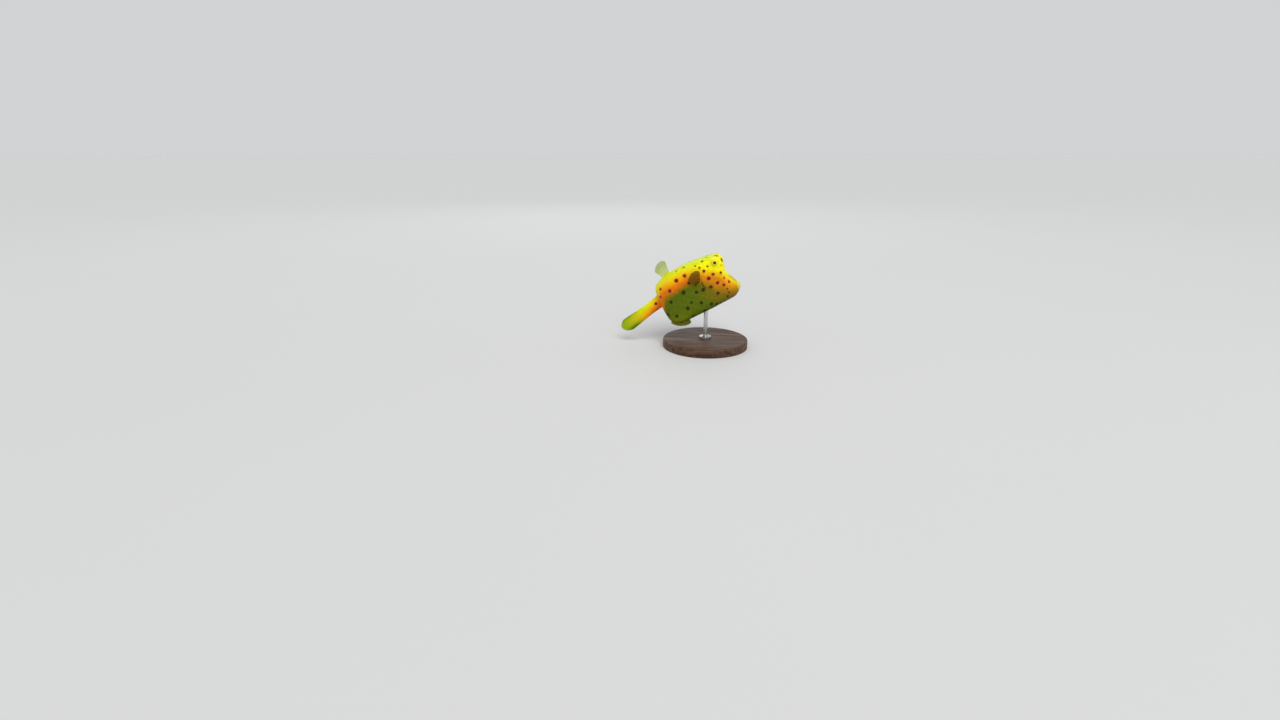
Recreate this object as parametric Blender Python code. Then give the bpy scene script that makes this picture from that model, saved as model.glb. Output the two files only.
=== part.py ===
"""Life-size museum model of a young yellow boxfish, swimming nose up on a plain display stand.

Metres, +Z up. The fish heads along +X. The origin is the centre of the stand's underside.
"""

import math

import bmesh
import bpy
import numpy as np
from mathutils import Matrix, Vector
from mathutils.bvhtree import BVHTree

MM = 0.001
GAP = 0.3 * MM  # clearance between parts that meet

# Pose of the fish on its stand
NOSE_UP = math.radians(27.0)
TAIL_DROOP = math.radians(11.9)  # the tail hangs this much below the body's own axis
TAIL_CLEARANCE = 4.0 * MM  # the tail's tip stays this far above the stand's top

# Side outline in the fish's own frame: millimetres behind the snout's tip, and above it.
# The first runs up the forehead and along the back, the second along chin and belly.
BACK_OUTLINE = [
    (-0.2, 5.0), (0.8, 8.8), (3.0, 13.4), (5.4, 18.6), (5.6, 23.8), (4.1, 29.2), (3.7, 34.0),
    (6.6, 38.2), (13.4, 40.2), (24.0, 41.9), (40.0, 43.2), (54.0, 42.2), (64.0, 40.2),
    (71.6, 37.4), (74.8, 33.2), (75.4, 27.0),
]
BELLY_OUTLINE = [
    (0.4, -0.9), (3.8, -3.7), (9.6, -6.0), (28.0, -6.2), (47.0, -6.3), (57.6, -6.6),
    (66.2, -6.2), (72.6, -2.6), (75.2, 4.8), (75.5, 14.0),
]
# Along the body, from the lips at 0 to the tail opening at 1: (place, value)
HALF_WIDTH = [
    (0.0, 3.0), (0.08, 6.4), (0.16, 9.8), (0.26, 13.2), (0.36, 15.4), (0.5, 17.0),
    (0.66, 17.4), (0.8, 15.6), (0.9, 12.2), (0.96, 8.8), (1.0, 5.9),
]
SQUARENESS = [(0.0, 2.0), (0.12, 2.5), (0.26, 3.6), (0.4, 5.0), (0.75, 5.2), (0.9, 3.6), (1.0, 2.2)]
CROWN = [(0.0, 0.0), (0.15, 0.0), (0.3, -0.03), (0.42, 0.03), (0.6, 0.08), (0.85, 0.07), (1.0, 0.0)]
BELLY_SPREAD = 0.06  # the belly's ridges stand out more than the back's
FLANK_HOLLOW = 0.035  # the flanks are a little hollow between the ridges

# Bony plates of the box
PLATE_COLUMNS = 20
PLATE_ROWS = 10
PLATES_FROM, PLATES_TO = 0.15, 0.955  # where the plates start and end along the body
PLATE_RISE = 0.35 * MM
PLATE_TOP = 0.78  # share of a plate's width that is raised
MUZZLE_RINGS = 3
SECTION_POINTS = 240

# Head and torso part at the gills
HEAD_LENGTH = 29.8 * MM

# Eyes
EYE_BEHIND, EYE_UP = 10.2 * MM, 34.2 * MM
EYE_RADIUS = 4.5 * MM
EYE_DEPTH = 2.7 * MM  # the eyeball's centre lies this deep under the flank
ORBIT_SWELL, ORBIT_REACH = 1.3 * MM, 6.2 * MM
ORBIT_RIM = 0.55 * MM

# Mouth and nostrils
LIP_HALF_WIDTH = 3.1 * MM
LIP_RADIUS = 1.35 * MM
LIP_UP = 2.3 * MM  # the mouth's line above the snout's tip
NOSTRIL_UP, NOSTRIL_OUT = 24.5 * MM, 8.6 * MM
NOSTRIL_RADIUS = 0.75 * MM

# Gill slit and its flap
GILL_BEHIND, GILL_TOP, GILL_LOW = 27.4 * MM, 25.0 * MM, 15.0 * MM
GILL_SLIT_RADIUS = 0.55 * MM
GILL_FLAP_WIDTH = 3.2 * MM
GILL_FLAP_THICK = 0.9 * MM

# Tail stalk and fins
STALK_LENGTH = 17.5 * MM
STALK_HALF_DEPTH = (6.4 * MM, 5.9 * MM, 5.8 * MM)  # at the box, in the middle, at the fin
STALK_HALF_WIDTH = (5.0 * MM, 3.2 * MM, 1.5 * MM)
CAUDAL_LENGTH = 32.2 * MM
CAUDAL_ROOT, CAUDAL_RAYS = 11.6 * MM, 10
PECTORAL_BEHIND, PECTORAL_UP = 33.2 * MM, 22.0 * MM
PECTORAL_LENGTH, PECTORAL_ROOT, PECTORAL_RAYS = 16.4 * MM, 5.4 * MM, 10
DORSAL_BEHIND, DORSAL_LENGTH, DORSAL_ROOT = 59.6 * MM, 14.0 * MM, 8.0 * MM
ANAL_BEHIND, ANAL_LENGTH, ANAL_ROOT = 65.5 * MM, 7.2 * MM, 16.8 * MM
ANAL_RAISE = 1.8 * MM  # how far its root line is set up into the belly
MEDIAN_RAYS = 9
ROOT_SINK = 2.5 * MM  # how far a fin is drawn into the body before it is trimmed to it

# Stand
BASE_RADIUS, BASE_HEIGHT, BASE_BEVEL = 42.0 * MM, 8.0 * MM, 1.5 * MM
ROD_RADIUS, ROD_BEHIND = 2.0 * MM, 39.0 * MM
COLLAR_RADIUS, COLLAR_HEIGHT = 6.0 * MM, 3.0 * MM


def spline(points, per_span=20):
    """Points of a smooth line through the given ones (Catmull-Rom)."""
    p = np.array(points, float)
    ends = np.vstack([2 * p[0] - p[1], p, 2 * p[-1] - p[-2]])
    u = np.linspace(0, 1, per_span, endpoint=False)[:, None]
    spans = []
    for i in range(len(p) - 1):
        a, b, c, d = ends[i:i + 4]
        cubic = 3 * b - a - 3 * c + d
        square = 2 * a - 5 * b + 4 * c - d
        spans.append(0.5 * (2 * b + (c - a) * u + square * u**2 + cubic * u**3))
    return np.vstack(spans + [p[-1:]])


def lengths_along(points):
    steps = np.linalg.norm(np.diff(points, axis=0), axis=1)
    return np.concatenate([[0.0], np.cumsum(steps)])


class Outline:
    """A smooth line in the fish's middle plane, read by its share of the whole length."""

    def __init__(self, outline):
        behind_and_up = spline(outline) * MM
        self.points = np.column_stack([-behind_and_up[:, 0], behind_and_up[:, 1]])
        run = lengths_along(self.points)
        self.share = run / run[-1]

    def at(self, share):
        return np.array([np.interp(share, self.share, self.points[:, i]) for i in (0, 1)])


BACK = Outline(BACK_OUTLINE)
BELLY = Outline(BELLY_OUTLINE)


def value_at(keys, place):
    line = spline(keys)
    return float(np.interp(place, line[:, 0], line[:, 1]))


def section(place):
    """The closed cross-section at that share of the body, from the crown over the left flank."""
    back, belly = BACK.at(place), BELLY.at(place)
    middle, half = (back + belly) / 2, (back - belly) / 2
    angle = np.linspace(0, 2 * math.pi, SECTION_POINTS + 1)
    power = 2.0 / value_at(SQUARENESS, place)
    across = np.sign(np.sin(angle)) * np.abs(np.sin(angle)) ** power
    upright = np.sign(np.cos(angle)) * np.abs(np.cos(angle)) ** power
    crown = value_at(CROWN, place)
    shape = 1 - BELLY_SPREAD * upright - FLANK_HOLLOW * (1 - upright**2)
    upright = upright - crown * across**2 * np.clip(upright, 0, 1)
    wide = value_at(HALF_WIDTH, place) * MM
    points = np.column_stack([
        middle[0] + half[0] * upright,
        across * shape * wide,
        middle[1] + half[1] * upright,
    ])
    return swell_orbits(points)


def swell_orbits(points):
    """Pushes the skin out round each eye."""
    off_eye = np.hypot(points[:, 0] + EYE_BEHIND, points[:, 2] - EYE_UP)
    lift = ORBIT_SWELL * np.exp(-((off_eye / ORBIT_REACH) ** 2))
    side = np.clip(points[:, 1] / (8 * MM), -1, 1)
    moved = points.copy()
    moved[:, 1] += side * lift
    moved[:, 2] += 0.35 * np.abs(side) * lift
    return moved


def body_points(places, turns):
    """Points of the body's surface. turns go once round the section, from 0 at the crown."""
    places, turns = np.atleast_1d(places), np.atleast_1d(turns)
    found = np.zeros((len(places), 3))
    for place in np.unique(places):
        here = places == place
        ring = section(place)
        run = lengths_along(ring)
        for i in range(3):
            found[here, i] = np.interp(np.mod(turns[here], 1.0) * run[-1], run, ring[:, i])
    return found


def body_normals(places, turns, step=0.004):
    """Outward normals, from differences along and round the body."""
    places, turns = np.atleast_1d(places), np.atleast_1d(turns)
    low, high = np.clip(places - step, 0, 1), np.clip(places + step, 0, 1)
    along = body_points(high, turns) - body_points(low, turns)
    around = body_points(places, turns + step) - body_points(places, turns - step)
    normal = np.cross(around, along)
    return normal / np.linalg.norm(normal, axis=1)[:, None]


class SurfaceMesh:
    """Collects vertices at (place, turn, rise) on the body, and the faces between them."""

    def __init__(self):
        self.index, self.spots, self.faces = {}, [], []

    def vertex(self, key, place, turn, rise):
        if key not in self.index:
            self.index[key] = len(self.spots)
            self.spots.append((place, turn, rise))
        return self.index[key]

    def points(self, offset):
        spots = np.array(self.spots)
        points = body_points(spots[:, 0], spots[:, 1])
        return points + body_normals(spots[:, 0], spots[:, 1]) * (spots[:, 2] + offset)[:, None]


def add_plates(mesh):
    """Six-sided plates in staggered rows, each a raised top in a groove shared with its neighbours."""
    row_step = (PLATES_TO - PLATES_FROM) / (PLATE_ROWS + 1 / 3)
    first = PLATES_FROM + row_step * 2 / 3

    def lattice(column, row, rise=0.0, tag="edge"):
        """column in quarters of a plate, row in sixths of the row step."""
        turn = column / (4 * PLATE_COLUMNS)
        place = first + row * row_step / 6
        key = (tag, round(column % (4 * PLATE_COLUMNS), 3), round(row, 3))
        return mesh.vertex(key, place, turn, rise)

    corners = [(0, 4), (2, 2), (2, -2), (0, -4), (-2, -2), (-2, 2)]
    for row in range(PLATE_ROWS):
        for column in range(PLATE_COLUMNS):
            centre = (4 * column + 2 * (row % 2), 6 * row)
            outer, inner = [], []
            for k, corner in enumerate(corners):
                following = corners[(k + 1) % 6]
                middle = ((corner[0] + following[0]) / 2, (corner[1] + following[1]) / 2)
                outer.append(lattice(centre[0] + corner[0], centre[1] + corner[1]))
                outer.append(lattice(centre[0] + middle[0], centre[1] + middle[1]))
                inner.append(lattice(
                    centre[0] + PLATE_TOP * corner[0], centre[1] + PLATE_TOP * corner[1],
                    PLATE_RISE, f"top{row}.{column}",
                ))
            top = lattice(*centre, PLATE_RISE, "centre")
            for k in range(6):
                corner, middle, before = outer[2 * k], outer[2 * k + 1], outer[2 * k - 1]
                following = inner[(k + 1) % 6]
                mesh.faces += [
                    (before, corner, inner[k]), (corner, middle, inner[k]),
                    (inner[k], middle, following), (inner[k], following, top),
                ]
    return lattice


def add_ends(mesh, lattice):
    """Closes the zigzag of the first and last plates, then the muzzle and the tail opening."""
    columns = 4 * PLATE_COLUMNS
    last = 6 * (PLATE_ROWS - 1)
    shift = 2 * ((PLATE_ROWS - 1) % 2)

    def ring(tag, place):
        return [mesh.vertex((tag, c), place, c / columns, 0.0) for c in range(0, columns, 2)]

    def zigzag(base, towards, stagger):
        """Lattice vertices of the border, by quarter column."""
        line = []
        for c in range(columns):
            depth = {0: 4, 1: 3, 2: 2, 3: 3}[(c - stagger) % 4]
            line.append(lattice(c, base + towards * depth))
        return line

    def bridge(border, straight, flip):
        for c in range(columns):
            near = straight[(c // 2) % len(straight)]
            following = straight[(c // 2 + 1) % len(straight)]
            face = [near, border[c], border[(c + 1) % columns]]
            mesh.faces.append(tuple(face if flip else face[::-1]))
            if c % 2:
                face = [near, border[(c + 1) % columns], following]
                mesh.faces.append(tuple(face if flip else face[::-1]))

    def join(first, second):
        for k in range(len(first)):
            a, b = first[k], first[(k + 1) % len(first)]
            c, d = second[k], second[(k + 1) % len(second)]
            mesh.faces += [(a, c, b), (b, c, d)]

    front = [ring(f"muzzle{k}", PLATES_FROM * k / MUZZLE_RINGS) for k in range(MUZZLE_RINGS)]
    front_edge = ring("muzzle_edge", PLATES_FROM)
    rear_edge = ring("opening", 1.0)
    bridge(zigzag(0, -1, 0), front_edge, False)
    bridge(zigzag(last, 1, shift), rear_edge, True)
    for nearer, further in zip(front, front[1:] + [front_edge]):
        join(nearer, further)
    mesh.faces.append(tuple(front[0]))
    mesh.faces.append(tuple(rear_edge[::-1]))


def body_mesh(name, offset=0.0):
    """The whole box with its plates, from the muzzle to the tail opening, grown by the offset."""
    surface = SurfaceMesh()
    lattice = add_plates(surface)
    add_ends(surface, lattice)
    return new_object(name, surface.points(offset), surface.faces)


def new_object(name, points, faces):
    mesh = bpy.data.meshes.new(name)
    mesh.from_pydata([tuple(p) for p in points], [], [tuple(f) for f in faces])
    work = bmesh.new()
    work.from_mesh(mesh)
    bmesh.ops.triangulate(work, faces=work.faces[:])
    bmesh.ops.recalc_face_normals(work, faces=work.faces[:])
    work.to_mesh(mesh)
    work.free()
    obj = bpy.data.objects.new(name, mesh)
    bpy.context.scene.collection.objects.link(obj)
    return obj


def apply_modifiers(obj):
    graph = bpy.context.evaluated_depsgraph_get()
    made = bpy.data.meshes.new_from_object(obj.evaluated_get(graph))
    obj.modifiers.clear()
    obj.data = made


def combine(target, other, operation):
    """Applies one Boolean and removes the other object."""
    modifier = target.modifiers.new(operation.lower(), "BOOLEAN")
    modifier.operation = operation
    modifier.solver = "EXACT"
    modifier.object = other
    apply_modifiers(target)
    bpy.data.objects.remove(other)


def keep_largest(obj):
    """Keeps the closed surface with the most volume and drops loose scraps."""
    work = bmesh.new()
    work.from_mesh(obj.data)
    left, groups = set(work.verts), []
    while left:
        stack, group = [left.pop()], set()
        while stack:
            vertex = stack.pop()
            group.add(vertex)
            for edge in vertex.link_edges:
                other = edge.other_vert(vertex)
                if other in left:
                    left.discard(other)
                    stack.append(other)
        groups.append(group)
    groups.sort(key=extent_of, reverse=True)
    for group in groups[1:]:
        bmesh.ops.delete(work, geom=list(group), context="VERTS")
    work.to_mesh(obj.data)
    work.free()


def extent_of(vertices):
    places = np.array([v.co for v in vertices])
    return float(np.prod(places.max(0) - places.min(0)))


def box_between(name, low, high):
    work = bmesh.new()
    bmesh.ops.create_cube(work, size=1.0)
    low, high = Vector(low), Vector(high)
    size = high - low
    bmesh.ops.scale(work, vec=size, verts=work.verts)
    bmesh.ops.translate(work, vec=(low + high) / 2, verts=work.verts)
    return from_bmesh(name, work)


def from_bmesh(name, work):
    bmesh.ops.recalc_face_normals(work, faces=work.faces[:])
    mesh = bpy.data.meshes.new(name)
    work.to_mesh(mesh)
    work.free()
    obj = bpy.data.objects.new(name, mesh)
    bpy.context.scene.collection.objects.link(obj)
    return obj


def ball(name, centre, radius, sides=20, rings=12, axis=(0, 1, 0)):
    """A sphere whose poles lie along the axis."""
    work = bmesh.new()
    turn = Vector((0, 0, 1)).rotation_difference(Vector(axis)).to_matrix().to_4x4()
    place = Matrix.Translation(Vector(centre)) @ turn
    bmesh.ops.create_uvsphere(work, u_segments=sides, v_segments=rings, radius=radius, matrix=place)
    return from_bmesh(name, work)


def tube(name, path, radii, sides=10, flatten=1.0, flat_axis=(0, 1, 0)):
    """A closed tube with round ends along the path, thinned along flat_axis."""
    path = [Vector(p) for p in path]
    points, faces = [], []
    squash = Vector(flat_axis).normalized()
    for i, (centre, radius) in enumerate(zip(path, radii)):
        before, after = path[max(i - 1, 0)], path[min(i + 1, len(path) - 1)]
        forward = (after - before).normalized()
        first = forward.orthogonal() if abs(forward.dot(squash)) > 0.99 else forward.cross(squash)
        first.normalize()
        second = forward.cross(first)
        for k in range(sides):
            angle = 2 * math.pi * k / sides
            off = radius * (math.cos(angle) * first + math.sin(angle) * second)
            off -= (1 - flatten) * off.dot(squash) * squash
            points.append(centre + off)
    for i in range(len(path) - 1):
        for k in range(sides):
            a, b = i * sides + k, i * sides + (k + 1) % sides
            faces.append((a, b, b + sides, a + sides))
    faces.append(tuple(range(sides - 1, -1, -1)))
    faces.append(tuple(range((len(path) - 1) * sides, len(path) * sides)))
    return new_object(name, points, faces)


class Skin:
    """Answers where the body's surface is, seen along a line."""

    def __init__(self, obj):
        work = bmesh.new()
        work.from_mesh(obj.data)
        self.tree = BVHTree.FromBMesh(work)
        work.free()

    def flank(self, behind, up, side):
        """The point of the flank at that place, and its outward normal. side is 1 for the left."""
        start = Vector((-behind, side * 60 * MM, up))
        point, normal, _, _ = self.tree.ray_cast(start, Vector((0, -side, 0)))
        return point, normal

    def front(self, out, up):
        start = Vector((30 * MM, out, up))
        point, normal, _, _ = self.tree.ray_cast(start, Vector((-1, 0, 0)))
        return point, normal

    def ridge(self, behind, direction):
        """Where a line down (-1) or up (1) in the middle plane meets the back or the belly."""
        start = Vector((-behind, 0, -direction * 90 * MM))
        point, normal, _, _ = self.tree.ray_cast(start, Vector((0, 0, direction)))
        return point, normal


def eye_centre(skin, side):
    point, normal = skin.flank(EYE_BEHIND, EYE_UP, side)
    return point - normal * EYE_DEPTH, normal


def add_orbit(body, skin, side):
    """A rim of bone round the eye, fused to the head."""
    centre, normal = eye_centre(skin, side)
    across = math.sqrt((EYE_RADIUS + GAP) ** 2 - EYE_DEPTH**2)
    first = normal.orthogonal().normalized()
    second = normal.cross(first)
    steps, sides = 22, 6
    points, faces = [], []
    for i in range(steps):
        angle = 2 * math.pi * i / steps
        out = math.cos(angle) * first + math.sin(angle) * second
        ring = centre + normal * EYE_DEPTH + out * (across + 0.4 * ORBIT_RIM)
        for k in range(sides):
            turn = 2 * math.pi * k / sides
            points.append(ring + ORBIT_RIM * (math.cos(turn) * out + math.sin(turn) * normal))
    for i in range(steps):
        for k in range(sides):
            j, m = (i + 1) % steps, (k + 1) % sides
            faces.append((i * sides + k, j * sides + k, j * sides + m, i * sides + m))
    combine(body, new_object("orbit_rim", points, faces), "UNION")


def carve_head(body, skin):
    """Eye sockets, nostrils and gill slits."""
    for side in (1, -1):
        add_orbit(body, skin, side)
        centre, normal = eye_centre(skin, side)
        socket = ball("socket", centre, EYE_RADIUS + GAP, axis=normal)
        combine(body, socket, "DIFFERENCE")
        pit, _ = skin.front(side * NOSTRIL_OUT, NOSTRIL_UP)
        combine(body, ball("pit", pit, NOSTRIL_RADIUS, sides=10, rings=6), "DIFFERENCE")
        slit = [skin.flank(GILL_BEHIND + bow, up, side)[0] for up, bow in gill_line()]
        radii = [GILL_SLIT_RADIUS] * len(slit)
        combine(body, tube("slit", slit, radii, sides=8), "DIFFERENCE")


def gill_line(steps=7):
    """Heights down the gill slit, and how far each lies behind its ends."""
    for i in range(steps):
        share = i / (steps - 1)
        yield GILL_TOP + (GILL_LOW - GILL_TOP) * share, 1.2 * MM * math.sin(math.pi * share)


def make_head_and_carapace():
    """The bony box, parted by a thin cut behind the gill slits."""
    body = body_mesh("carapace")
    skin = Skin(body)
    carve_head(body, skin)
    head = body.copy()
    head.data = body.data.copy()
    head.name = "head"
    bpy.context.scene.collection.objects.link(head)
    wide = 100 * MM
    cut = -HEAD_LENGTH
    front = box_between("front", (cut - GAP / 2, -wide, -wide), (wide, wide, wide))
    rear = box_between("rear", (-2 * wide, -wide, -wide), (cut + GAP / 2, wide, wide))
    combine(head, rear, "DIFFERENCE")
    combine(body, front, "DIFFERENCE")
    for obj in (head, body):
        keep_largest(obj)
    return head, body, skin


def make_eyes(skin):
    made = []
    for side, name in ((1, "eye_left"), (-1, "eye_right")):
        centre, normal = eye_centre(skin, side)
        made.append(ball(name, centre, EYE_RADIUS, sides=20, rings=12, axis=normal))
    return made


def make_lips(trim):
    """Two fleshy lips that meet along the mouth's line."""
    made = []
    for up, name in ((1, "upper_lip"), (-1, "lower_lip")):
        path, radii = [], []
        for i in range(11):
            share = i / 5 - 1
            swell = math.sqrt(max(1 - 0.94 * share**2, 0))
            radius = LIP_RADIUS * (0.42 + 0.58 * swell)
            forward = -0.9 * MM + 1.7 * MM * swell - (0.3 * MM if up < 0 else 0)
            path.append((forward, share * LIP_HALF_WIDTH, LIP_UP + up * (radius * 0.86 + GAP / 2)))
            radii.append(radius)
        made.append(tube(name, path, radii, sides=10, flatten=0.86, flat_axis=(0, 0, 1)))
        combine(made[-1], grown_body(trim), "DIFFERENCE")
        keep_largest(made[-1])
    return made


def make_gill_flaps(skin, trim):
    """A thin crescent of skin over each gill slit, hinged along its front edge."""
    made = []
    for side, name in ((1, "gill_flap_left"), (-1, "gill_flap_right")):
        rows, columns = 9, 5
        inner, outer = [], []
        for i in range(rows):
            share = i / (rows - 1)
            up = GILL_TOP + 0.6 * MM + (GILL_LOW - GILL_TOP - 1.2 * MM) * share
            width = GILL_FLAP_WIDTH * (0.25 + 0.75 * math.sin(math.pi * share))
            for j in range(columns):
                across = j / (columns - 1)
                behind = GILL_BEHIND - 2.0 * MM + width * across
                point, _ = skin.flank(behind, up, side)
                edge = min(i, rows - 1 - i, 1.0) * 0.35 + 0.65
                thick = GILL_FLAP_THICK * edge * (1 - 0.4 * across)
                outward = Vector((0, side, 0))
                inner.append(point - outward * GAP)
                outer.append(point + outward * (GAP + PLATE_RISE + thick))
        made.append(new_object(name, *slab(inner, outer, rows, columns)))
        combine(made[-1], grown_body(trim), "DIFFERENCE")
        keep_largest(made[-1])
    return made


def slab(inner, outer, rows, columns):
    """Points and triangles of a closed sheet between two grids, split alike on both faces."""
    points = list(inner) + list(outer)
    far = rows * columns
    faces = []
    for i in range(rows - 1):
        for j in range(columns - 1):
            a, b = i * columns + j, i * columns + j + 1
            c, d = b + columns, a + columns
            faces += [(a, c, b), (a, d, c)]
            faces += [(far + a, far + b, far + c), (far + a, far + c, far + d)]
    border = [j for j in range(columns)]
    border += [i * columns + columns - 1 for i in range(1, rows)]
    border += [(rows - 1) * columns + j for j in range(columns - 2, -1, -1)]
    border += [i * columns for i in range(rows - 2, 0, -1)]
    for k, a in enumerate(border):
        b = border[(k + 1) % len(border)]
        faces += [(a, b, far + b), (a, far + b, far + a)]
    return points, faces


def grown_body(trim):
    """A fresh copy of the body grown by the gap, to cut away what would touch it."""
    copy = trim.copy()
    copy.data = trim.data.copy()
    bpy.context.scene.collection.objects.link(copy)
    return copy


def fin(name, root, blade, base, rays, length, root_width, spread, shape, thick, bend, sink=0.0):
    """A fan of rays raised on both faces of a thin membrane.

    blade points out along the middle ray and base along the fin's root. shape is (how much shorter
    the outer rays are, how far the membrane is cut back between rays, how much longer the rays at
    base's far end are). thick is (root, tip, membrane share). bend moves the blade sideways.
    """
    blade, base = Vector(blade).normalized(), Vector(base).normalized()
    side = blade.cross(base).normalized()
    round_off, notch, lean = shape
    columns, rows = 2 * rays + 1, 8
    inner, outer = [], []
    for i in range(rows):
        along = (i / (rows - 1)) ** 0.85
        for j in range(columns):
            across = 2 * j / (columns - 1) - 1
            on_ray = j % 2 == 1
            angle = across * spread / 2
            reach = length * (1 - round_off * abs(across) ** 2.4) * (1 + lean * across)
            reach *= 1.0 if on_ray else 1 - notch
            direction = blade * math.cos(angle) + base * math.sin(angle)
            start = Vector(root) + base * across * root_width / 2 - direction * sink
            point = start + direction * along * (reach + sink)
            point += side * (bend[0] * along**2 + bend[1] * along * across)
            half = 0.5 * (thick[0] + (thick[1] - thick[0]) * along**0.6)
            half *= 1.0 if on_ray else thick[2]
            half *= 0.7 if j in (0, columns - 1) else 1.0
            inner.append(point - side * half)
            outer.append(point + side * half)
    return new_object(name, *slab(inner, outer, rows, columns))


def trimmed_fin(trim, *args, **kwargs):
    """A fin drawn into the body and cut back to meet its surface."""
    made = fin(*args, sink=ROOT_SINK, **kwargs)
    combine(made, grown_body(trim), "DIFFERENCE")
    keep_largest(made)
    return made


def make_pectorals(skin, trim):
    """Both fins beat upward as in the photograph, the left one a little behind the right."""
    made = []
    for side, name, lift in ((1, "pectoral_fin_left", 76), (-1, "pectoral_fin_right", 90)):
        root, _ = skin.flank(PECTORAL_BEHIND, PECTORAL_UP, side)
        raised, swung = math.radians(lift), math.radians(28)
        blade = (
            -math.cos(raised) * math.cos(swung),
            side * math.sin(swung),
            math.sin(raised) * math.cos(swung),
        )
        base = Vector((-math.sin(raised), 0, -math.cos(raised) - 0.3))
        made.append(trimmed_fin(
            trim, name, root, blade, base, PECTORAL_RAYS, PECTORAL_LENGTH, PECTORAL_ROOT,
            math.radians(42), (0.26, 0.04, -0.06), (1.7 * MM, 0.7 * MM, 0.55),
            (-side * 1.6 * MM, side * 0.8 * MM),
        ))
    return made


def make_dorsal(skin, trim):
    root, _ = skin.ridge(DORSAL_BEHIND, -1)
    rake = math.radians(10)
    return trimmed_fin(
        trim, "dorsal_fin", root, (-math.sin(rake), 0, math.cos(rake)),
        (-math.cos(math.radians(17)), 0, -math.sin(math.radians(17))), MEDIAN_RAYS, DORSAL_LENGTH,
        DORSAL_ROOT, math.radians(34), (0.24, 0.04, -0.06), (2.0 * MM, 0.7 * MM, 0.55),
        (1.2 * MM, 0.5 * MM),
    )


def make_anal(skin, trim):
    under, _ = skin.ridge(ANAL_BEHIND, 1)
    root = under + Vector((0, 0, ANAL_RAISE))
    rake = math.radians(30)
    return trimmed_fin(
        trim, "anal_fin", root, (-math.sin(rake), 0, -math.cos(rake)),
        (-math.cos(math.radians(19)), 0, math.sin(math.radians(19))), MEDIAN_RAYS, ANAL_LENGTH,
        ANAL_ROOT, math.radians(56), (0.40, 0.04, -0.20), (2.0 * MM, 0.7 * MM, 0.55),
        (-0.8 * MM, 0.4 * MM),
    )


def tail_frame():
    """Where the stalk leaves the box, and the direction of the drooping tail."""
    start = (BACK.at(1.0) + BELLY.at(1.0)) / 2
    opening = BACK.at(1.0) - BELLY.at(1.0)
    normal = Vector((-opening[1], 0, opening[0])).normalized()
    droop = Vector((-math.cos(TAIL_DROOP), 0, -math.sin(TAIL_DROOP)))
    return Vector((start[0], 0, start[1])), normal, droop


def three_way(values, share):
    """Smooth value through a start, middle and end value."""
    low, middle, high = values
    return low + (4 * middle - 3 * low - high) * share + (2 * low + 2 * high - 4 * middle) * share**2


def make_stalk():
    """The soft stalk of the tail, narrow and upright, from the opening to the fin."""
    start, out, droop = tail_frame()
    start = start + out * GAP
    rings, sides = 10, 22
    points, faces = [], []
    for i in range(rings):
        share = i / (rings - 1)
        forward = out.lerp(droop, min(1.0, share * 3)).normalized()
        knee = start + out * STALK_LENGTH * 0.12
        far = knee + droop * STALK_LENGTH * 0.88
        centre = start.lerp(knee, share / 0.12) if share < 0.12 else knee.lerp(far, (share - 0.12) / 0.88)
        upright = Vector((0, 1, 0)).cross(forward).normalized()
        deep, wide = three_way(STALK_HALF_DEPTH, share), three_way(STALK_HALF_WIDTH, share)
        for k in range(sides):
            angle = 2 * math.pi * k / sides
            points.append(
                centre + upright * deep * math.cos(angle) + Vector((0, wide * math.sin(angle), 0))
            )
    for i in range(rings - 1):
        for k in range(sides):
            a, b = i * sides + k, i * sides + (k + 1) % sides
            faces.append((a, b, b + sides, a + sides))
    faces.append(tuple(range(sides)))
    faces.append(tuple(range((rings - 1) * sides, rings * sides)))
    return new_object("tail_stalk", points, faces), far


def make_caudal(end):
    """The tail fin, held closed: long, narrow and rounded, with its rays close together."""
    _, _, droop = tail_frame()
    upright = Vector((0, 1, 0)).cross(droop).normalized()
    return fin(
        "caudal_fin", end + droop * GAP, droop, upright, CAUDAL_RAYS, CAUDAL_LENGTH, CAUDAL_ROOT,
        math.radians(5.5), (0.24, 0.015, 0.05), (2.2 * MM, 0.8 * MM, 0.5), (1.0 * MM, 0.6 * MM),
    )


def pose_matrix(tail_tip):
    """Tips the fish nose up and lifts it so that its tail clears the stand's top."""
    tip = Matrix.Rotation(-NOSE_UP, 4, "Y")
    contact = Vector((-ROD_BEHIND, 0, BELLY.at(0.5)[1]))
    lowest = (tip @ tail_tip).z
    lift = BASE_HEIGHT + TAIL_CLEARANCE - lowest
    return Matrix.Translation(Vector((-(tip @ contact).x, 0, lift))) @ tip


def lowest_corner(obj, matrix):
    return min((matrix @ v.co for v in obj.data.vertices), key=lambda p: p.z)


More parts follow.
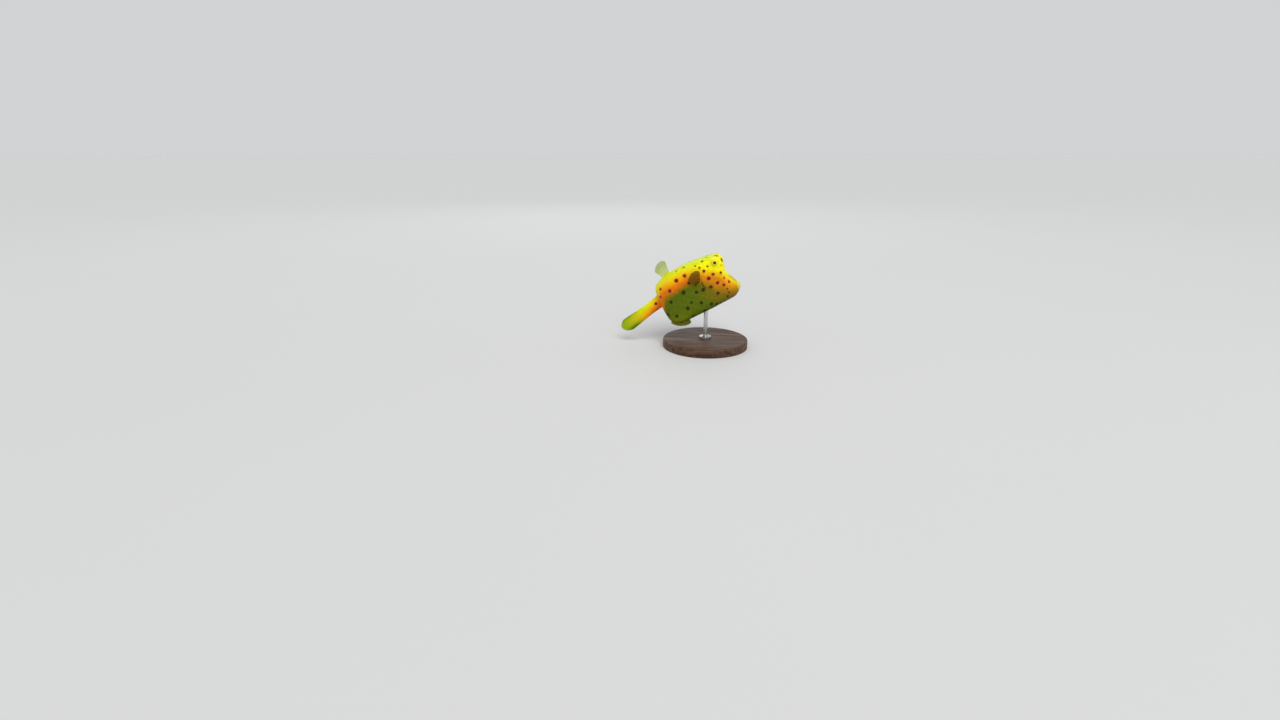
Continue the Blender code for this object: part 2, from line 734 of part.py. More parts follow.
def make_stand(pose, trim):
    """A round base, a collar and one rod that ends against the belly."""
    work = bmesh.new()
    bmesh.ops.create_cone(
        work, cap_ends=True, segments=64, radius1=BASE_RADIUS, radius2=BASE_RADIUS,
        depth=BASE_HEIGHT, matrix=Matrix.Translation((0, 0, BASE_HEIGHT / 2)),
    )
    rim = [e for e in work.edges if all(v.co.z > BASE_HEIGHT * 0.9 for v in e.verts)]
    bmesh.ops.bevel(work, geom=rim, offset=BASE_BEVEL, segments=2, affect="EDGES", profile=0.5)
    base = from_bmesh("stand_base", work)
    collar = turned("stand_collar", [
        (COLLAR_RADIUS, BASE_HEIGHT + GAP), (COLLAR_RADIUS, BASE_HEIGHT + GAP + 0.6 * COLLAR_HEIGHT),
        (ROD_RADIUS + 1.2 * MM, BASE_HEIGHT + GAP + COLLAR_HEIGHT),
        (ROD_RADIUS + GAP, BASE_HEIGHT + GAP + COLLAR_HEIGHT), (ROD_RADIUS + GAP, BASE_HEIGHT + GAP),
    ])
    rod = new_rod(BASE_HEIGHT + GAP, 100 * MM)
    cutter = grown_body(trim)
    cutter.data.transform(pose)
    combine(rod, cutter, "DIFFERENCE")
    keep_lowest(rod)
    return base, collar, rod


def turned(name, profile, sides=32):
    """A ring with the profile's (radius, height) section."""
    points, faces = [], []
    for i in range(sides):
        angle = 2 * math.pi * i / sides
        points += [(r * math.cos(angle), r * math.sin(angle), z) for r, z in profile]
    count = len(profile)
    for i in range(sides):
        j = (i + 1) % sides
        for k in range(count):
            m = (k + 1) % count
            faces.append((i * count + k, j * count + k, j * count + m, i * count + m))
    return new_object(name, points, faces)


def new_rod(low, high):
    work = bmesh.new()
    bmesh.ops.create_cone(
        work, cap_ends=True, segments=20, radius1=ROD_RADIUS, radius2=ROD_RADIUS,
        depth=high - low, matrix=Matrix.Translation((0, 0, (low + high) / 2)),
    )
    return from_bmesh("stand_rod", work)


def keep_lowest(obj):
    """Keeps the stretch of the rod below the fish."""
    work = bmesh.new()
    work.from_mesh(obj.data)
    lowest = min(work.verts, key=lambda v: v.co.z)
    reached, stack = {lowest}, [lowest]
    while stack:
        for edge in stack.pop().link_edges:
            for vertex in edge.verts:
                if vertex not in reached:
                    reached.add(vertex)
                    stack.append(vertex)
    bmesh.ops.delete(work, geom=[v for v in work.verts if v not in reached], context="VERTS")
    work.to_mesh(obj.data)
    work.free()


def material(name, colour, roughness, metallic=0.0):
    made = bpy.data.materials.new(name)
    made.use_nodes = True
    shader = made.node_tree.nodes["Principled BSDF"]
    shader.inputs["Base Color"].default_value = (*colour, 1.0)
    shader.inputs["Roughness"].default_value = roughness
    shader.inputs["Metallic"].default_value = metallic
    return made


MATERIALS = {
    "skin": ((0.90, 0.62, 0.02), 0.42),
    "stalk": ((0.90, 0.46, 0.03), 0.42),
    "fin": ((0.84, 0.66, 0.08), 0.45),
    "lip": ((0.88, 0.74, 0.30), 0.35),
    "eye": ((0.80, 0.55, 0.05), 0.10),
    "wood": ((0.10, 0.06, 0.04), 0.40),
    "steel": ((0.55, 0.55, 0.56), 0.30, 1.0),
}


def main():
    for obj in list(bpy.data.objects):
        bpy.data.objects.remove(obj)
    finish = {name: material(name, *values) for name, values in MATERIALS.items()}
    trim = body_mesh("trim", offset=GAP)
    head, carapace, skin = make_head_and_carapace()
    eyes = make_eyes(skin)
    lips = make_lips(trim)
    flaps = make_gill_flaps(skin, trim)
    pectorals = make_pectorals(skin, trim)
    dorsal, anal = make_dorsal(skin, trim), make_anal(skin, trim)
    stalk, stalk_end = make_stalk()
    caudal = make_caudal(stalk_end)
    tip = Matrix.Rotation(-NOSE_UP, 4, "Y")
    low = lowest_corner(caudal, tip)
    pose = pose_matrix(tip.inverted() @ low)
    base, collar, rod = make_stand(pose, trim)
    bpy.data.objects.remove(trim)

    fish = bpy.data.objects.new("fish", None)
    bpy.context.scene.collection.objects.link(fish)
    fish.matrix_world = pose
    dressed = [
        ([head, carapace, *flaps], "skin"), ([stalk], "stalk"), (lips, "lip"), (eyes, "eye"),
        ([*pectorals, dorsal, anal, caudal], "fin"), ([base], "wood"), ([collar, rod], "steel"),
    ]
    for objects, slot in dressed:
        for obj in objects:
            obj.data.materials.clear()
            obj.data.materials.append(finish[slot])
            obj.data.shade_smooth()
            obj.data.set_sharp_from_angle(angle=math.radians(35))
            if slot not in ("wood", "steel"):
                obj.parent = fish


main()
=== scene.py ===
"""Looks of the yellow boxfish: its skin, plates, spots, eyes and fins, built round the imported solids.

Metres. Most of the fish is made in its own frame, in which it heads along +X with its back up and
the snout's tip at the origin, and is then tipped nose up and set over the stand.
"""

import math

import bpy
import numpy as np
from mathutils import Matrix, Vector
from mathutils.bvhtree import BVHTree

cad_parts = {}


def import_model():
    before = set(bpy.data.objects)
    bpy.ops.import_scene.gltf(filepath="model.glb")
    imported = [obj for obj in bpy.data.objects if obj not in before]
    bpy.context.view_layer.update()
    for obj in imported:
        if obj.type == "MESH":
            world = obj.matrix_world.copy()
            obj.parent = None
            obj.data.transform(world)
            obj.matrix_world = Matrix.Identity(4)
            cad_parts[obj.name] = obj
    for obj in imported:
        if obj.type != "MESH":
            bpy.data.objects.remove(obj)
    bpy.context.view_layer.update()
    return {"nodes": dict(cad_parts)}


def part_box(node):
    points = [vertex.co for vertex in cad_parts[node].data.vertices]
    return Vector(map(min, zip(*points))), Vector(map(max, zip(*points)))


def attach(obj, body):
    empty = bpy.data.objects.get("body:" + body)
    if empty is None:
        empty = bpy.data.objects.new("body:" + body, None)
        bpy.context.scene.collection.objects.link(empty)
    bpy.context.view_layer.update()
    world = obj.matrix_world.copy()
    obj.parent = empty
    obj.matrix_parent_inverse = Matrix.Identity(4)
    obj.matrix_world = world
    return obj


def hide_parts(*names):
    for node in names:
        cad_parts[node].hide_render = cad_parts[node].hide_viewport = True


MM = 0.001

# Pose of the fish, as in the solids
NOSE_UP = math.radians(27.0)
FISH_AT = (31.9 * MM, 0.0, 60.55 * MM)

# Side outline: millimetres behind the snout's tip, and above it
BACK_OUTLINE = [
    (-0.2, 5.0), (0.8, 8.8), (3.0, 13.4), (5.4, 18.6), (5.6, 23.8), (4.1, 29.2), (3.7, 34.0),
    (6.6, 38.2), (13.4, 40.2), (24.0, 41.9), (40.0, 43.2), (54.0, 42.2), (64.0, 40.2),
    (71.6, 37.4), (74.8, 33.2), (75.4, 27.0),
]
BELLY_OUTLINE = [
    (0.4, -0.9), (3.8, -3.7), (9.6, -6.0), (28.0, -6.2), (47.0, -6.3), (57.6, -6.6),
    (66.2, -6.2), (72.6, -2.6), (75.2, 4.8), (75.5, 14.0),
]

# Cross-sections, by the share of the body: half the width in millimetres, how square the section is
# (2 is an ellipse), and how far the back falls away towards its edges
HALF_WIDTH = [
    (0.0, 3.0), (0.08, 6.4), (0.16, 9.8), (0.26, 13.2), (0.36, 15.4), (0.5, 17.0),
    (0.66, 17.4), (0.8, 15.6), (0.9, 12.2), (0.96, 8.8), (1.0, 5.9),
]
SQUARENESS = [(0.0, 2.0), (0.12, 2.5), (0.26, 3.6), (0.4, 5.0), (0.75, 5.2), (0.9, 3.6), (1.0, 2.2)]
CROWN = [(0.0, 0.0), (0.15, 0.0), (0.3, -0.03), (0.42, 0.03), (0.6, 0.08), (0.85, 0.07), (1.0, 0.0)]

# Shares of the width by which the belly is wider than the middle, and the flanks are drawn in
BELLY_SPREAD, FLANK_HOLLOW = 0.06, 0.035

# Eyes: their place and size, the swelling round them, and the rim and the well of the socket
EYE_BEHIND, EYE_UP = 10.2 * MM, 34.2 * MM
EYE_RADIUS, IRIS_RADIUS, CORNEA_BULGE = 4.5 * MM, 3.0 * MM, 0.35 * MM
ORBIT_SWELL, ORBIT_REACH = 1.3 * MM, 6.2 * MM
RIM_RADIUS, RIM_WIDTH, RIM_RISE = 4.35 * MM, 0.5 * MM, 0.4 * MM
WELL_INNER, WELL_OUTER, WELL_DEPTH = 3.35 * MM, 3.8 * MM, 2.0 * MM

# Rows and sides of the eyeball, and how far it reaches round from the front, in radians
EYE_ROWS, EYE_SIDES, EYE_SWEEP = 60, 64, 2.2

# Mouth: the lips roll through LIP_TURN degrees, and the last rings run back into the mouth
LIP_HALF_WIDTH, LIP_UP = 2.7 * MM, 2.6 * MM
LIP_FRONT, LIP_LEAN = 0.25 * MM, 0.24
LIP_ROLL, LIP_BOW, LIP_TURN = 1.4 * MM, 0.55 * MM, 250.0
MOUTH_DEPTH = 1.4 * MM

# Nostrils: their place, the radius, width and height of the rim, and the radius and depth of the hole
NOSTRIL_UP, NOSTRIL_OUT = 24.5 * MM, 8.6 * MM
NOSTRIL_RIM, NOSTRIL_RIM_WIDTH, NOSTRIL_RIM_RISE = 0.75 * MM, 0.32 * MM, 0.32 * MM
NOSTRIL_HOLE, NOSTRIL_DEPTH = 0.42 * MM, 0.7 * MM

# Gill slits: their place, the rise of the flap, and the place, width and depth of the slit behind it
GILL_BEHIND, GILL_TOP, GILL_LOW, GILL_BOW = 27.4 * MM, 25.0 * MM, 15.0 * MM, 1.3 * MM
FLAP_RISE, SLIT_OFF, SLIT_WIDTH, SLIT_DEPTH = 0.75 * MM, 0.90 * MM, 0.36 * MM, 0.8 * MM

# Tail stalk, as in the solids. It leaves the box squarely up to the knee, at a share of its length,
# and then droops by some degrees. The skin goes on over the roots of the tail fin's rays.
STALK_LENGTH, STALK_KNEE, STALK_DROOP, STALK_OVERLAP = 17.5 * MM, 0.12, 11.9, 1.26
STALK_HALF_DEPTH = (6.4 * MM, 5.9 * MM, 5.8 * MM)
STALK_HALF_WIDTH = (5.0 * MM, 3.2 * MM, 1.5 * MM)

# Fins, as in the solids: the ways of middle ray and root line in degrees above straight back, the
# length of the rays, the width of the root, the degrees that the rays spread, how rounded and how
# slanted the edge is, the thickness at root and tip, and how far the fin is bowed and twisted
CAUDAL_FIN = {
    "rays": 10, "length": 32.2 * MM, "width": 11.6 * MM, "spread": 5.5, "round": 0.24, "lean": 0.05,
    "thick": (1.7 * MM, 0.4 * MM), "bend": (1.0 * MM, 0.6 * MM),
}
DORSAL_FIN = {
    "ways": (80, -17), "rays": 9, "length": 14.0 * MM, "width": 8.0 * MM, "spread": 34, "round": 0.24,
    "lean": -0.06, "thick": (1.4 * MM, 0.32 * MM), "bend": (1.2 * MM, 0.5 * MM),
}
ANAL_FIN = {
    "ways": (-60, 19), "rays": 9, "length": 7.2 * MM, "width": 16.8 * MM, "spread": 56, "round": 0.40,
    "lean": -0.20, "thick": (1.4 * MM, 0.32 * MM), "bend": (-0.8 * MM, 0.4 * MM),
}
PECTORAL_FIN = {
    "rays": 10, "length": 16.4 * MM, "width": 5.4 * MM, "spread": 42, "round": 0.26, "lean": -0.06,
    "thick": (1.2 * MM, 0.32 * MM), "bend": (-1.6 * MM, 0.8 * MM),
}
DORSAL_BEHIND = 59.6 * MM
ANAL_BEHIND, ANAL_RAISE = 65.5 * MM, 1.8 * MM
PECTORAL_BEHIND, PECTORAL_UP = 33.2 * MM, 22.0 * MM

# The pectoral fins: degrees that they are swung out, and side and lift of each
PECTORAL_SWING = 28
PECTORAL_LIFTS = {"pectoral_fin_left": (1, 76), "pectoral_fin_right": (-1, 90)}

# How far the fins start under the skin, and the points of their mesh along a ray and from ray to ray
ROOT_SINK = 2.0 * MM
FIN_ROWS, RAY_COLUMNS = 72, 12

# The skin round a fin's root line: height and reach of the swelling, and where the plates start
ROOT_RISE, ROOT_REACH, ROOT_SOFT = 0.9 * MM, 1.7 * MM, (1.8 * MM, 3.8 * MM)

# Skin mesh: rings of lips, box and stalk, points of each ring, and the steps it is first drawn with
LIP_ROWS, BODY_ROWS, STALK_ROWS = 30, 400, 76
COLUMNS = 640
SECTION_STEPS, RING_STEPS, SPAN_STEPS = 1440, 720, 20

# Bony plates: their size and relief, the plates in a ring round the box, and how round the box is
PLATE_SIZE = 5.8 * MM
PLATE_RISE, PLATE_DOME, GROOVE_WIDTH = 0.22 * MM, 0.10 * MM, 0.42 * MM
BOX_PLATES, BOX_GIRTH = 26, 140 * MM
EVENING_ROUNDS = 12

# Where the yellow of the back turns orange, and the orange olive: behind and up in millimetres
ORANGE_FROM = [
    (-4, -2), (0, 3), (4, 9.5), (8, 17), (13, 23.5), (21, 29), (28, 33), (36, 36), (50, 36.5), (62, 35.5),
    (70, 33), (76, 26.5), (80, 22.5), (88, 19), (96, 15.5), (130, 4),
]
# Below this line the olive is partly the fish's own colour and partly painted shade, the lower flank
# darkened as if lit from above
OLIVE_FROM = [
    (-4, -3), (0, 1), (8, 5), (14, 8), (20, 12), (25, 19), (29, 25), (35, 27.5), (45, 27), (56, 25),
    (64, 24.5), (70, 20.5), (75, 10), (80, -5), (130, -30),
]

# Camera: where it stands, how it looks, and its focal length in pixels of the 1280-pixel frame
CAMERA_AT = (18.9 * MM, -601.3 * MM, 184.1 * MM)
CAMERA_AZIMUTH, CAMERA_ELEVATION = math.radians(8.01), math.radians(18.44)
FOCAL_PIXELS, FRAME_WIDTH, FRAME_HEIGHT = 623.0, 1280, 720

# Spots that show in the photo: pixel, and radius in millimetres with the photo's blur
SPOTS = [
    (716.1, 255.6, 2.2), (721.9, 259.9, 2.4), (702.1, 261.3, 1.3), (707.6, 266.4, 1.1),
    (699.6, 267.7, 1.1), (704.0, 271.0, 1.5), (720.7, 272.5, 1.4), (713.1, 274.3, 1.4),
    (708.8, 278.5, 1.9), (724.1, 278.0, 0.9), (728.9, 281.8, 1.2), (717.5, 282.8, 1.8),
    (723.9, 285.0, 1.5), (710.9, 287.0, 1.8), (727.4, 288.6, 0.8), (729.1, 292.4, 0.9),
    (717.9, 293.3, 1.7), (727.7, 296.2, 1.2), (684.6, 275.7, 1.7), (676.3, 280.6, 1.9),
    (669.8, 291.0, 1.7), (660.5, 289.2, 1.2), (660.5, 297.1, 1.2), (655.8, 303.8, 1.4),
    (689.1, 282.9, 1.7), (695.4, 285.0, 1.2), (683.5, 292.6, 2.1), (703.2, 289.7, 2.0),
    (696.5, 292.2, 1.6), (701.4, 302.7, 1.6), (691.6, 302.5, 1.2), (687.7, 308.5, 1.9),
    (671.2, 302.2, 1.6), (711.4, 303.8, 1.7), (716.7, 303.9, 1.4), (704.7, 310.6, 1.5),
    (693.5, 315.8, 1.2), (676.8, 316.2, 1.6), (668.2, 314.5, 1.5), (657.7, 309.6, 1.1),
    (676.1, 271.1, 1.2), (683.9, 267.3, 1.2), (695.0, 266.0, 0.9), (706.3, 257.3, 1.5),
]

# Factor that takes the blur off the radii, least gap between spots as a factor, and seed of the rest
SPOT_SHARPENING, SPOT_GAP, SPOT_SEED = 0.93, 1.15, 7

# Orange blush in the yellow of the cheek: pixel, and radius and strength in millimetres
BLUSH_AT, BLUSH_RADIUS, BLUSH_STRENGTH = (721.4, 264.6), 3.0, 16

# Where rays start that are cast at the body, and what the materials take as far away, in millimetres
FAR = 90 * MM
FAR_OFF = 5.0

# Colours of the skin
LEMON = (0.63, 0.75, 0.002)
YELLOW = (0.70, 0.73, 0.003)
BRIGHT = (0.90, 0.82, 0.003)
GOLD = (0.82, 0.48, 0.004)
ORANGE = (0.76, 0.152, 0.003)
AMBER = (0.61, 0.205, 0.004)
PEACH = (0.92, 0.38, 0.005)
RUST = (0.62, 0.155, 0.003)
# Painted shade: the front of the muzzle above the mouth duller and darker
MUZZLE_SHADE = (0.46, 0.46, 0.020)
# Olive, mustard and brown of the lower flank and belly: partly the fish's own colour, partly painted
# shade as if lit from above
OLIVE = (0.058, 0.104, 0.001)
OLIVE_LOW = (0.130, 0.160, 0.002)
MUSTARD = (0.141, 0.105, 0.002)
BROWN = (0.164, 0.080, 0.002)
GRAIN = (0.45, 0.33, 0.004)
GROOVE = (0.16, 0.10, 0.003)
LIP_PALE = (0.60, 0.60, 0.085)
SPOT_RED = (0.105, 0.009, 0.001)
SPOT_HALO = (0.78, 0.13, 0.009)
SPOT_BLACK = (0.009, 0.014, 0.001)
SPOT_BROWN = (0.042, 0.020, 0.001)
SPOT_GREEN = (0.12, 0.11, 0.003)
SPOT_FAINT = (0.20, 0.24, 0.003)

# Looks of the fins: colours of the root, of its two edges, of the tip and of the rays, and how
# opaque the membrane is. The root of the fleshy tail fin carries on the colours of the skin.
# The tail fin's thin darker top edge, and painted shade along its lower edge
TAIL_EDGE_AND_SHADE = (0.075, 0.155, 0.002)
FIN_LOOKS = {
    "tail_fin": {
        "root": (0.76, 0.56, 0.004), "high": (0.64, 0.66, 0.004), "low": (0.52, 0.27, 0.004),
        "tip": (0.21, 0.37, 0.003), "ray": (0.46, 0.46, 0.005), "solid": 1.0, "fleshy": True,
    },
    # The pectoral fins' brown is partly painted shadow: the dark patch of the fin and its shadow on the
    # flank
    "pectoral_fins": {
        "root": (0.18, 0.09, 0.002), "high": (0.18, 0.09, 0.002), "low": (0.15, 0.075, 0.002),
        "tip": (0.135, 0.085, 0.002), "ray": (0.165, 0.10, 0.003), "solid": 0.42,
    },
    "dorsal_fin": {
        "root": (0.62, 0.62, 0.01), "high": (0.60, 0.60, 0.01), "low": (0.60, 0.60, 0.01),
        "tip": (0.26, 0.40, 0.05), "ray": (0.44, 0.53, 0.06), "solid": 0.4,
    },
    # The anal fin's olive is partly painted shade, as on the belly
    "anal_fin": {
        "root": (0.17, 0.20, 0.002), "high": (0.17, 0.20, 0.002), "low": (0.17, 0.20, 0.002),
        "tip": (0.22, 0.24, 0.003), "ray": (0.26, 0.29, 0.004), "solid": 0.85,
    },
}

# Colours of the eyes
IRIS_GOLD, IRIS_FLECKS = (0.86, 0.78, 0.008), (0.64, 0.54, 0.006)
IRIS_INSIDE, IRIS_OUTSIDE, IRIS_LINE = (0.88, 0.80, 0.03), (0.84, 0.78, 0.004), (0.44, 0.40, 0.004)
PUPIL = (0.020, 0.018, 0.003)

# Colours of stand and floor, and half the floor's width in metres
WALNUT, WALNUT_DARK, WALNUT_GRAIN = (0.120, 0.058, 0.026), (0.085, 0.038, 0.017), (0.036, 0.016, 0.008)
STEEL = (0.60, 0.60, 0.61)
FLOOR, FLOOR_PALE = (0.595, 0.60, 0.60), (0.61, 0.615, 0.615)
FLOOR_HALF = 60.0


def spline(points):
    """Points of a smooth line through the given ones (Catmull-Rom)."""
    p = np.array(points, float)
    ends = np.vstack([2 * p[0] - p[1], p, 2 * p[-1] - p[-2]])
    u = np.linspace(0, 1, SPAN_STEPS, endpoint=False)[:, None]
    spans = []
    for i in range(len(p) - 1):
        a, b, c, d = ends[i:i + 4]
        cubic = 3 * b - a - 3 * c + d
        square = 2 * a - 5 * b + 4 * c - d
        spans.append(0.5 * (2 * b + (c - a) * u + square * u**2 + cubic * u**3))
    return np.vstack(spans + [p[-1:]])


def along_line(keys, places):
    """Heights of the smooth line through the keys, at one place or many."""
    line = spline(keys)
    return np.interp(places, line[:, 0], line[:, 1])


def lengths_along(points):
    steps = np.linalg.norm(np.diff(points, axis=0), axis=1)
    return np.concatenate([[0.0], np.cumsum(steps)])


def smooth_step(value, low, high):
    t = np.clip((value - low) / (high - low), 0, 1)
    return t * t * (3 - 2 * t)


def bell(distance, width):
    """1 at no distance, falling off smoothly over about the width."""
    return np.exp(-((distance / width) ** 2))


def squarer(wave, power):
    """A sine or cosine that makes a ring squarer where the power is under 1."""
    return np.sign(wave) * np.abs(wave) ** power


def three_way(values, share):
    """The curve through the values at the start, the middle and the end."""
    low, middle, high = values
    return low + (4 * middle - 3 * low - high) * share + (2 * low + 2 * high - 4 * middle) * share**2


def rearward(degrees):
    """A way in the fish's middle plane, that many degrees above straight back."""
    angle = math.radians(degrees)
    return Vector((-math.cos(angle), 0, math.sin(angle)))


class Outline:
    """A smooth line in the fish's middle plane, read by its share of the whole length."""

    def __init__(self, outline):
        behind_and_up = spline(outline) * MM
        self.points = np.column_stack([-behind_and_up[:, 0], behind_and_up[:, 1]])
        run = lengths_along(self.points)
        self.share = run / run[-1]

    def at(self, share):
        return np.array([np.interp(share, self.share, self.points[:, i]) for i in (0, 1)])


BACK = Outline(BACK_OUTLINE)
BELLY = Outline(BELLY_OUTLINE)


def section(place):
    """The closed cross-section at that share of the body, from the crown over the left flank."""
    back, belly = BACK.at(place), BELLY.at(place)
    middle, half = (back + belly) / 2, (back - belly) / 2
    angle = np.linspace(0, 2 * math.pi, SECTION_STEPS + 1)
    power = 2.0 / along_line(SQUARENESS, place)
    across = squarer(np.sin(angle), power)
    upright = squarer(np.cos(angle), power)
    shape = 1 - BELLY_SPREAD * upright - FLANK_HOLLOW * (1 - upright**2)
    upright = upright - along_line(CROWN, place) * across**2 * np.clip(upright, 0, 1)
    wide = along_line(HALF_WIDTH, place) * MM
    points = np.column_stack([
        middle[0] + half[0] * upright,
        across * shape * wide,
        middle[1] + half[1] * upright,
    ])
    return swell_orbits(points)


def swell_orbits(points):
    """Bulges the head out, and a little up, round the eyes."""
    off_eye = np.hypot(points[:, 0] + EYE_BEHIND, points[:, 2] - EYE_UP)
    lift = ORBIT_SWELL * bell(off_eye, ORBIT_REACH)
    side = np.clip(points[:, 1] / (8 * MM), -1, 1)
    moved = points.copy()
    moved[:, 1] += side * lift
    moved[:, 2] += 0.35 * np.abs(side) * lift
    return moved


def even_ring(ring):
    """Spreads a closed ring's points evenly over COLUMNS places, from the crown on."""
    run = lengths_along(ring)
    wanted = np.arange(COLUMNS) / COLUMNS * run[-1]
    return np.column_stack([np.interp(wanted, run, ring[:, i]) for i in range(3)])


def lip_rings():
    """Rings from inside the mouth, forward over the rolled lips, to the muzzle."""
    angle = np.linspace(0, 2 * math.pi, RING_STEPS + 1)
    thick = LIP_ROLL * (0.62 + 0.38 * np.abs(np.cos(angle)))
    wide = LIP_HALF_WIDTH * squarer(np.sin(angle), 0.8)
    tall = 1.12 * LIP_ROLL * squarer(np.cos(angle), 1.2)
    bow = LIP_BOW * (wide / LIP_HALF_WIDTH) ** 2
    out = np.column_stack([np.sin(angle) * 0.55, np.cos(angle)])
    out /= np.linalg.norm(out, axis=1)[:, None]
    rings = []
    for i in range(LIP_ROWS):
        roll = math.radians(LIP_TURN - LIP_TURN * i / (LIP_ROWS - 1))
        if roll > math.pi:
            reach, forward = -thick, (math.pi - roll) * MOUTH_DEPTH
        else:
            reach, forward = thick * math.cos(roll), thick * math.sin(roll)
        rise = tall + out[:, 1] * reach
        rings.append(even_ring(np.column_stack([
            LIP_FRONT - bow + forward + LIP_LEAN * rise,
            wide + out[:, 0] * reach,
            LIP_UP + rise,
        ])))
    return rings


def tail_frame():
    """Where the stalk leaves the box, the way it leaves, and the way the tail hangs."""
    start = (BACK.at(1.0) + BELLY.at(1.0)) / 2
    opening = BACK.at(1.0) - BELLY.at(1.0)
    out = Vector((-opening[1], 0, opening[0])).normalized()
    return Vector((start[0], 0, start[1])), out, rearward(-STALK_DROOP)


def stalk_centre(share):
    """A point of the stalk's middle line, by its share of the length."""
    start, out, droop = tail_frame()
    straight, hanging = min(share, STALK_KNEE), max(0.0, share - STALK_KNEE)
    return start + out * STALK_LENGTH * straight + droop * STALK_LENGTH * hanging


def stalk_rings():
    """Rings of the soft stalk, and on over the roots of the tail fin's rays."""
    _, out, droop = tail_frame()
    angle = np.linspace(0, 2 * math.pi, RING_STEPS + 1)
    rings = []
    for i in range(1, STALK_ROWS + 1):
        share = STALK_OVERLAP * i / STALK_ROWS
        forward = out.lerp(droop, min(1.0, share * 3)).normalized()
        upright = Vector((0, 1, 0)).cross(forward).normalized()
        deep = three_way(STALK_HALF_DEPTH, min(share, 1.0))
        wide = three_way(STALK_HALF_WIDTH, min(share, 1.0))
        if share > 1.0:
            wide *= 1 - 0.90 * float(smooth_step(share, 0.98, STALK_OVERLAP))
        rings.append(even_ring(
            np.array(stalk_centre(share))
            + np.outer(deep * np.cos(angle), np.array(upright))
            + np.outer(wide * np.sin(angle), [0, 1, 0])
        ))
    return rings


def skin_grid():
    """The bare body from the mouth to the tail fin's root: rings, and each ring's place.

    Places run from 0 to 1 over the box. They are below 0 in the lips, and above 1 on the stalk.
    """
    places = np.linspace(0, 1, BODY_ROWS)
    body = [even_ring(section(p)) for p in places]
    grid = np.array(lip_rings() + body[1:] + stalk_rings())
    place = np.concatenate([
        np.linspace(-0.1, 0, LIP_ROWS), places[1:], 1 + np.arange(1, STALK_ROWS + 1) / STALK_ROWS,
    ])
    soften(grid, place, at=0.0, reach=0.02, rounds=14)
    soften(grid, place, at=1.0, reach=0.022, rounds=60)
    return grid, place


def soften(grid, place, at, reach, rounds):
    """Rounds the fold between two stretches of rings. Places run faster along the short stalk."""
    scale = np.where(place > 1, 4.0, 1.0)
    weight = bell(place - at, reach * scale)[:, None, None]
    for _ in range(rounds):
        middle = (np.roll(grid, 1, 0) + np.roll(grid, -1, 0)) / 2
        middle[0], middle[-1] = grid[0], grid[-1]
        grid += weight * (middle - grid)


def grid_normals(grid):
    along = np.gradient(grid, axis=0)
    around = np.roll(grid, -1, 1) - np.roll(grid, 1, 1)
    normal = np.cross(around, along)
    return normal / (np.linalg.norm(normal, axis=2)[..., None] + 1e-12)


def near_segment(points, start, end):
    """Distance of each point from a straight stretch."""
    start, end = np.array(start), np.array(end)
    along = end - start
    t = np.clip((points - start) @ along / (along @ along), 0, 1)
    return np.linalg.norm(points - (start + t[..., None] * along), axis=-1)


def nearest_two(points, seeds):
    """For each point, its nearest seed, and its distance from the border with the next one."""
    nearest = np.zeros(len(points), int)
    border = np.zeros(len(points))
    squares = (seeds**2).sum(1)
    chunk = 20000
    for low in range(0, len(points), chunk):
        part = points[low:low + chunk]
        away = (part**2).sum(1)[:, None] + squares - 2 * part @ seeds.T
        pair = np.argpartition(away, 1, axis=1)[:, :2]
        gaps = np.take_along_axis(away, pair, axis=1)
        order = np.argsort(gaps, axis=1)
        pair = np.take_along_axis(pair, order, axis=1)
        gaps = np.take_along_axis(gaps, order, axis=1)
        apart = np.linalg.norm(seeds[pair[:, 0]] - seeds[pair[:, 1]], axis=1)
        nearest[low:low + chunk] = pair[:, 0]
        border[low:low + chunk] = (gaps[:, 1] - gaps[:, 0]) / (2 * apart)
    return nearest, border


def plate_rows(sample, step_along):
    """Staggered rings of plate centres, picked from the sample's points."""
    row_gap = 0.87 * PLATE_SIZE
    mean_run = np.concatenate([[0.0], np.cumsum(step_along.mean(1))])[:-1]
    rows = []
    for k in range(int(mean_run[-1] / row_gap)):
        ring = sample[np.searchsorted(mean_run, (k + 0.5) * row_gap)]
        girth = np.linalg.norm(np.roll(ring, -1, 0) - ring, axis=1).sum()
        count = BOX_PLATES if girth > BOX_GIRTH else max(5, round(girth / PLATE_SIZE))
        turns = (np.arange(count) + 0.5 * (k % 2)) / count
        rows.append(ring[(turns * len(ring)).astype(int)])
    return np.vstack(rows)


def plate_seeds(grid, place):
    """Centres of the bony plates, evened out over the box. Every third point of it is enough."""
    inside = (place > 0.02) & (place < 0.99)
    sample = grid[np.nonzero(inside)[0][::3]][:, ::3]
    step_along = np.linalg.norm(np.gradient(sample, axis=0), axis=2)
    step_round = np.linalg.norm(np.roll(sample, -1, 1) - sample, axis=2)
    weight = (step_along * step_round).ravel()
    points = sample.reshape(-1, 3)
    seeds = plate_rows(sample, step_along)
    for _ in range(EVENING_ROUNDS):
        nearest, _ = nearest_two(points, seeds)
        total = np.bincount(nearest, weight, len(seeds))
        for axis in range(3):
            moved = np.bincount(nearest, weight * points[:, axis], len(seeds))
            seeds[:, axis] = moved / np.maximum(total, 1e-12)
    return seeds


def fish_matrix():
    tip = Matrix.Rotation(-NOSE_UP, 4, "Y")
    return Matrix.Translation(Vector(FISH_AT)) @ tip


def tube_quads(rows, columns):
    """Faces between closed rings of points."""
    i, j = np.meshgrid(np.arange(rows - 1), np.arange(columns), indexing="ij")
    k = (j + 1) % columns
    quads = np.stack([i * columns + j, (i + 1) * columns + j, (i + 1) * columns + k, i * columns + k], -1)
    return quads.reshape(-1, 4)


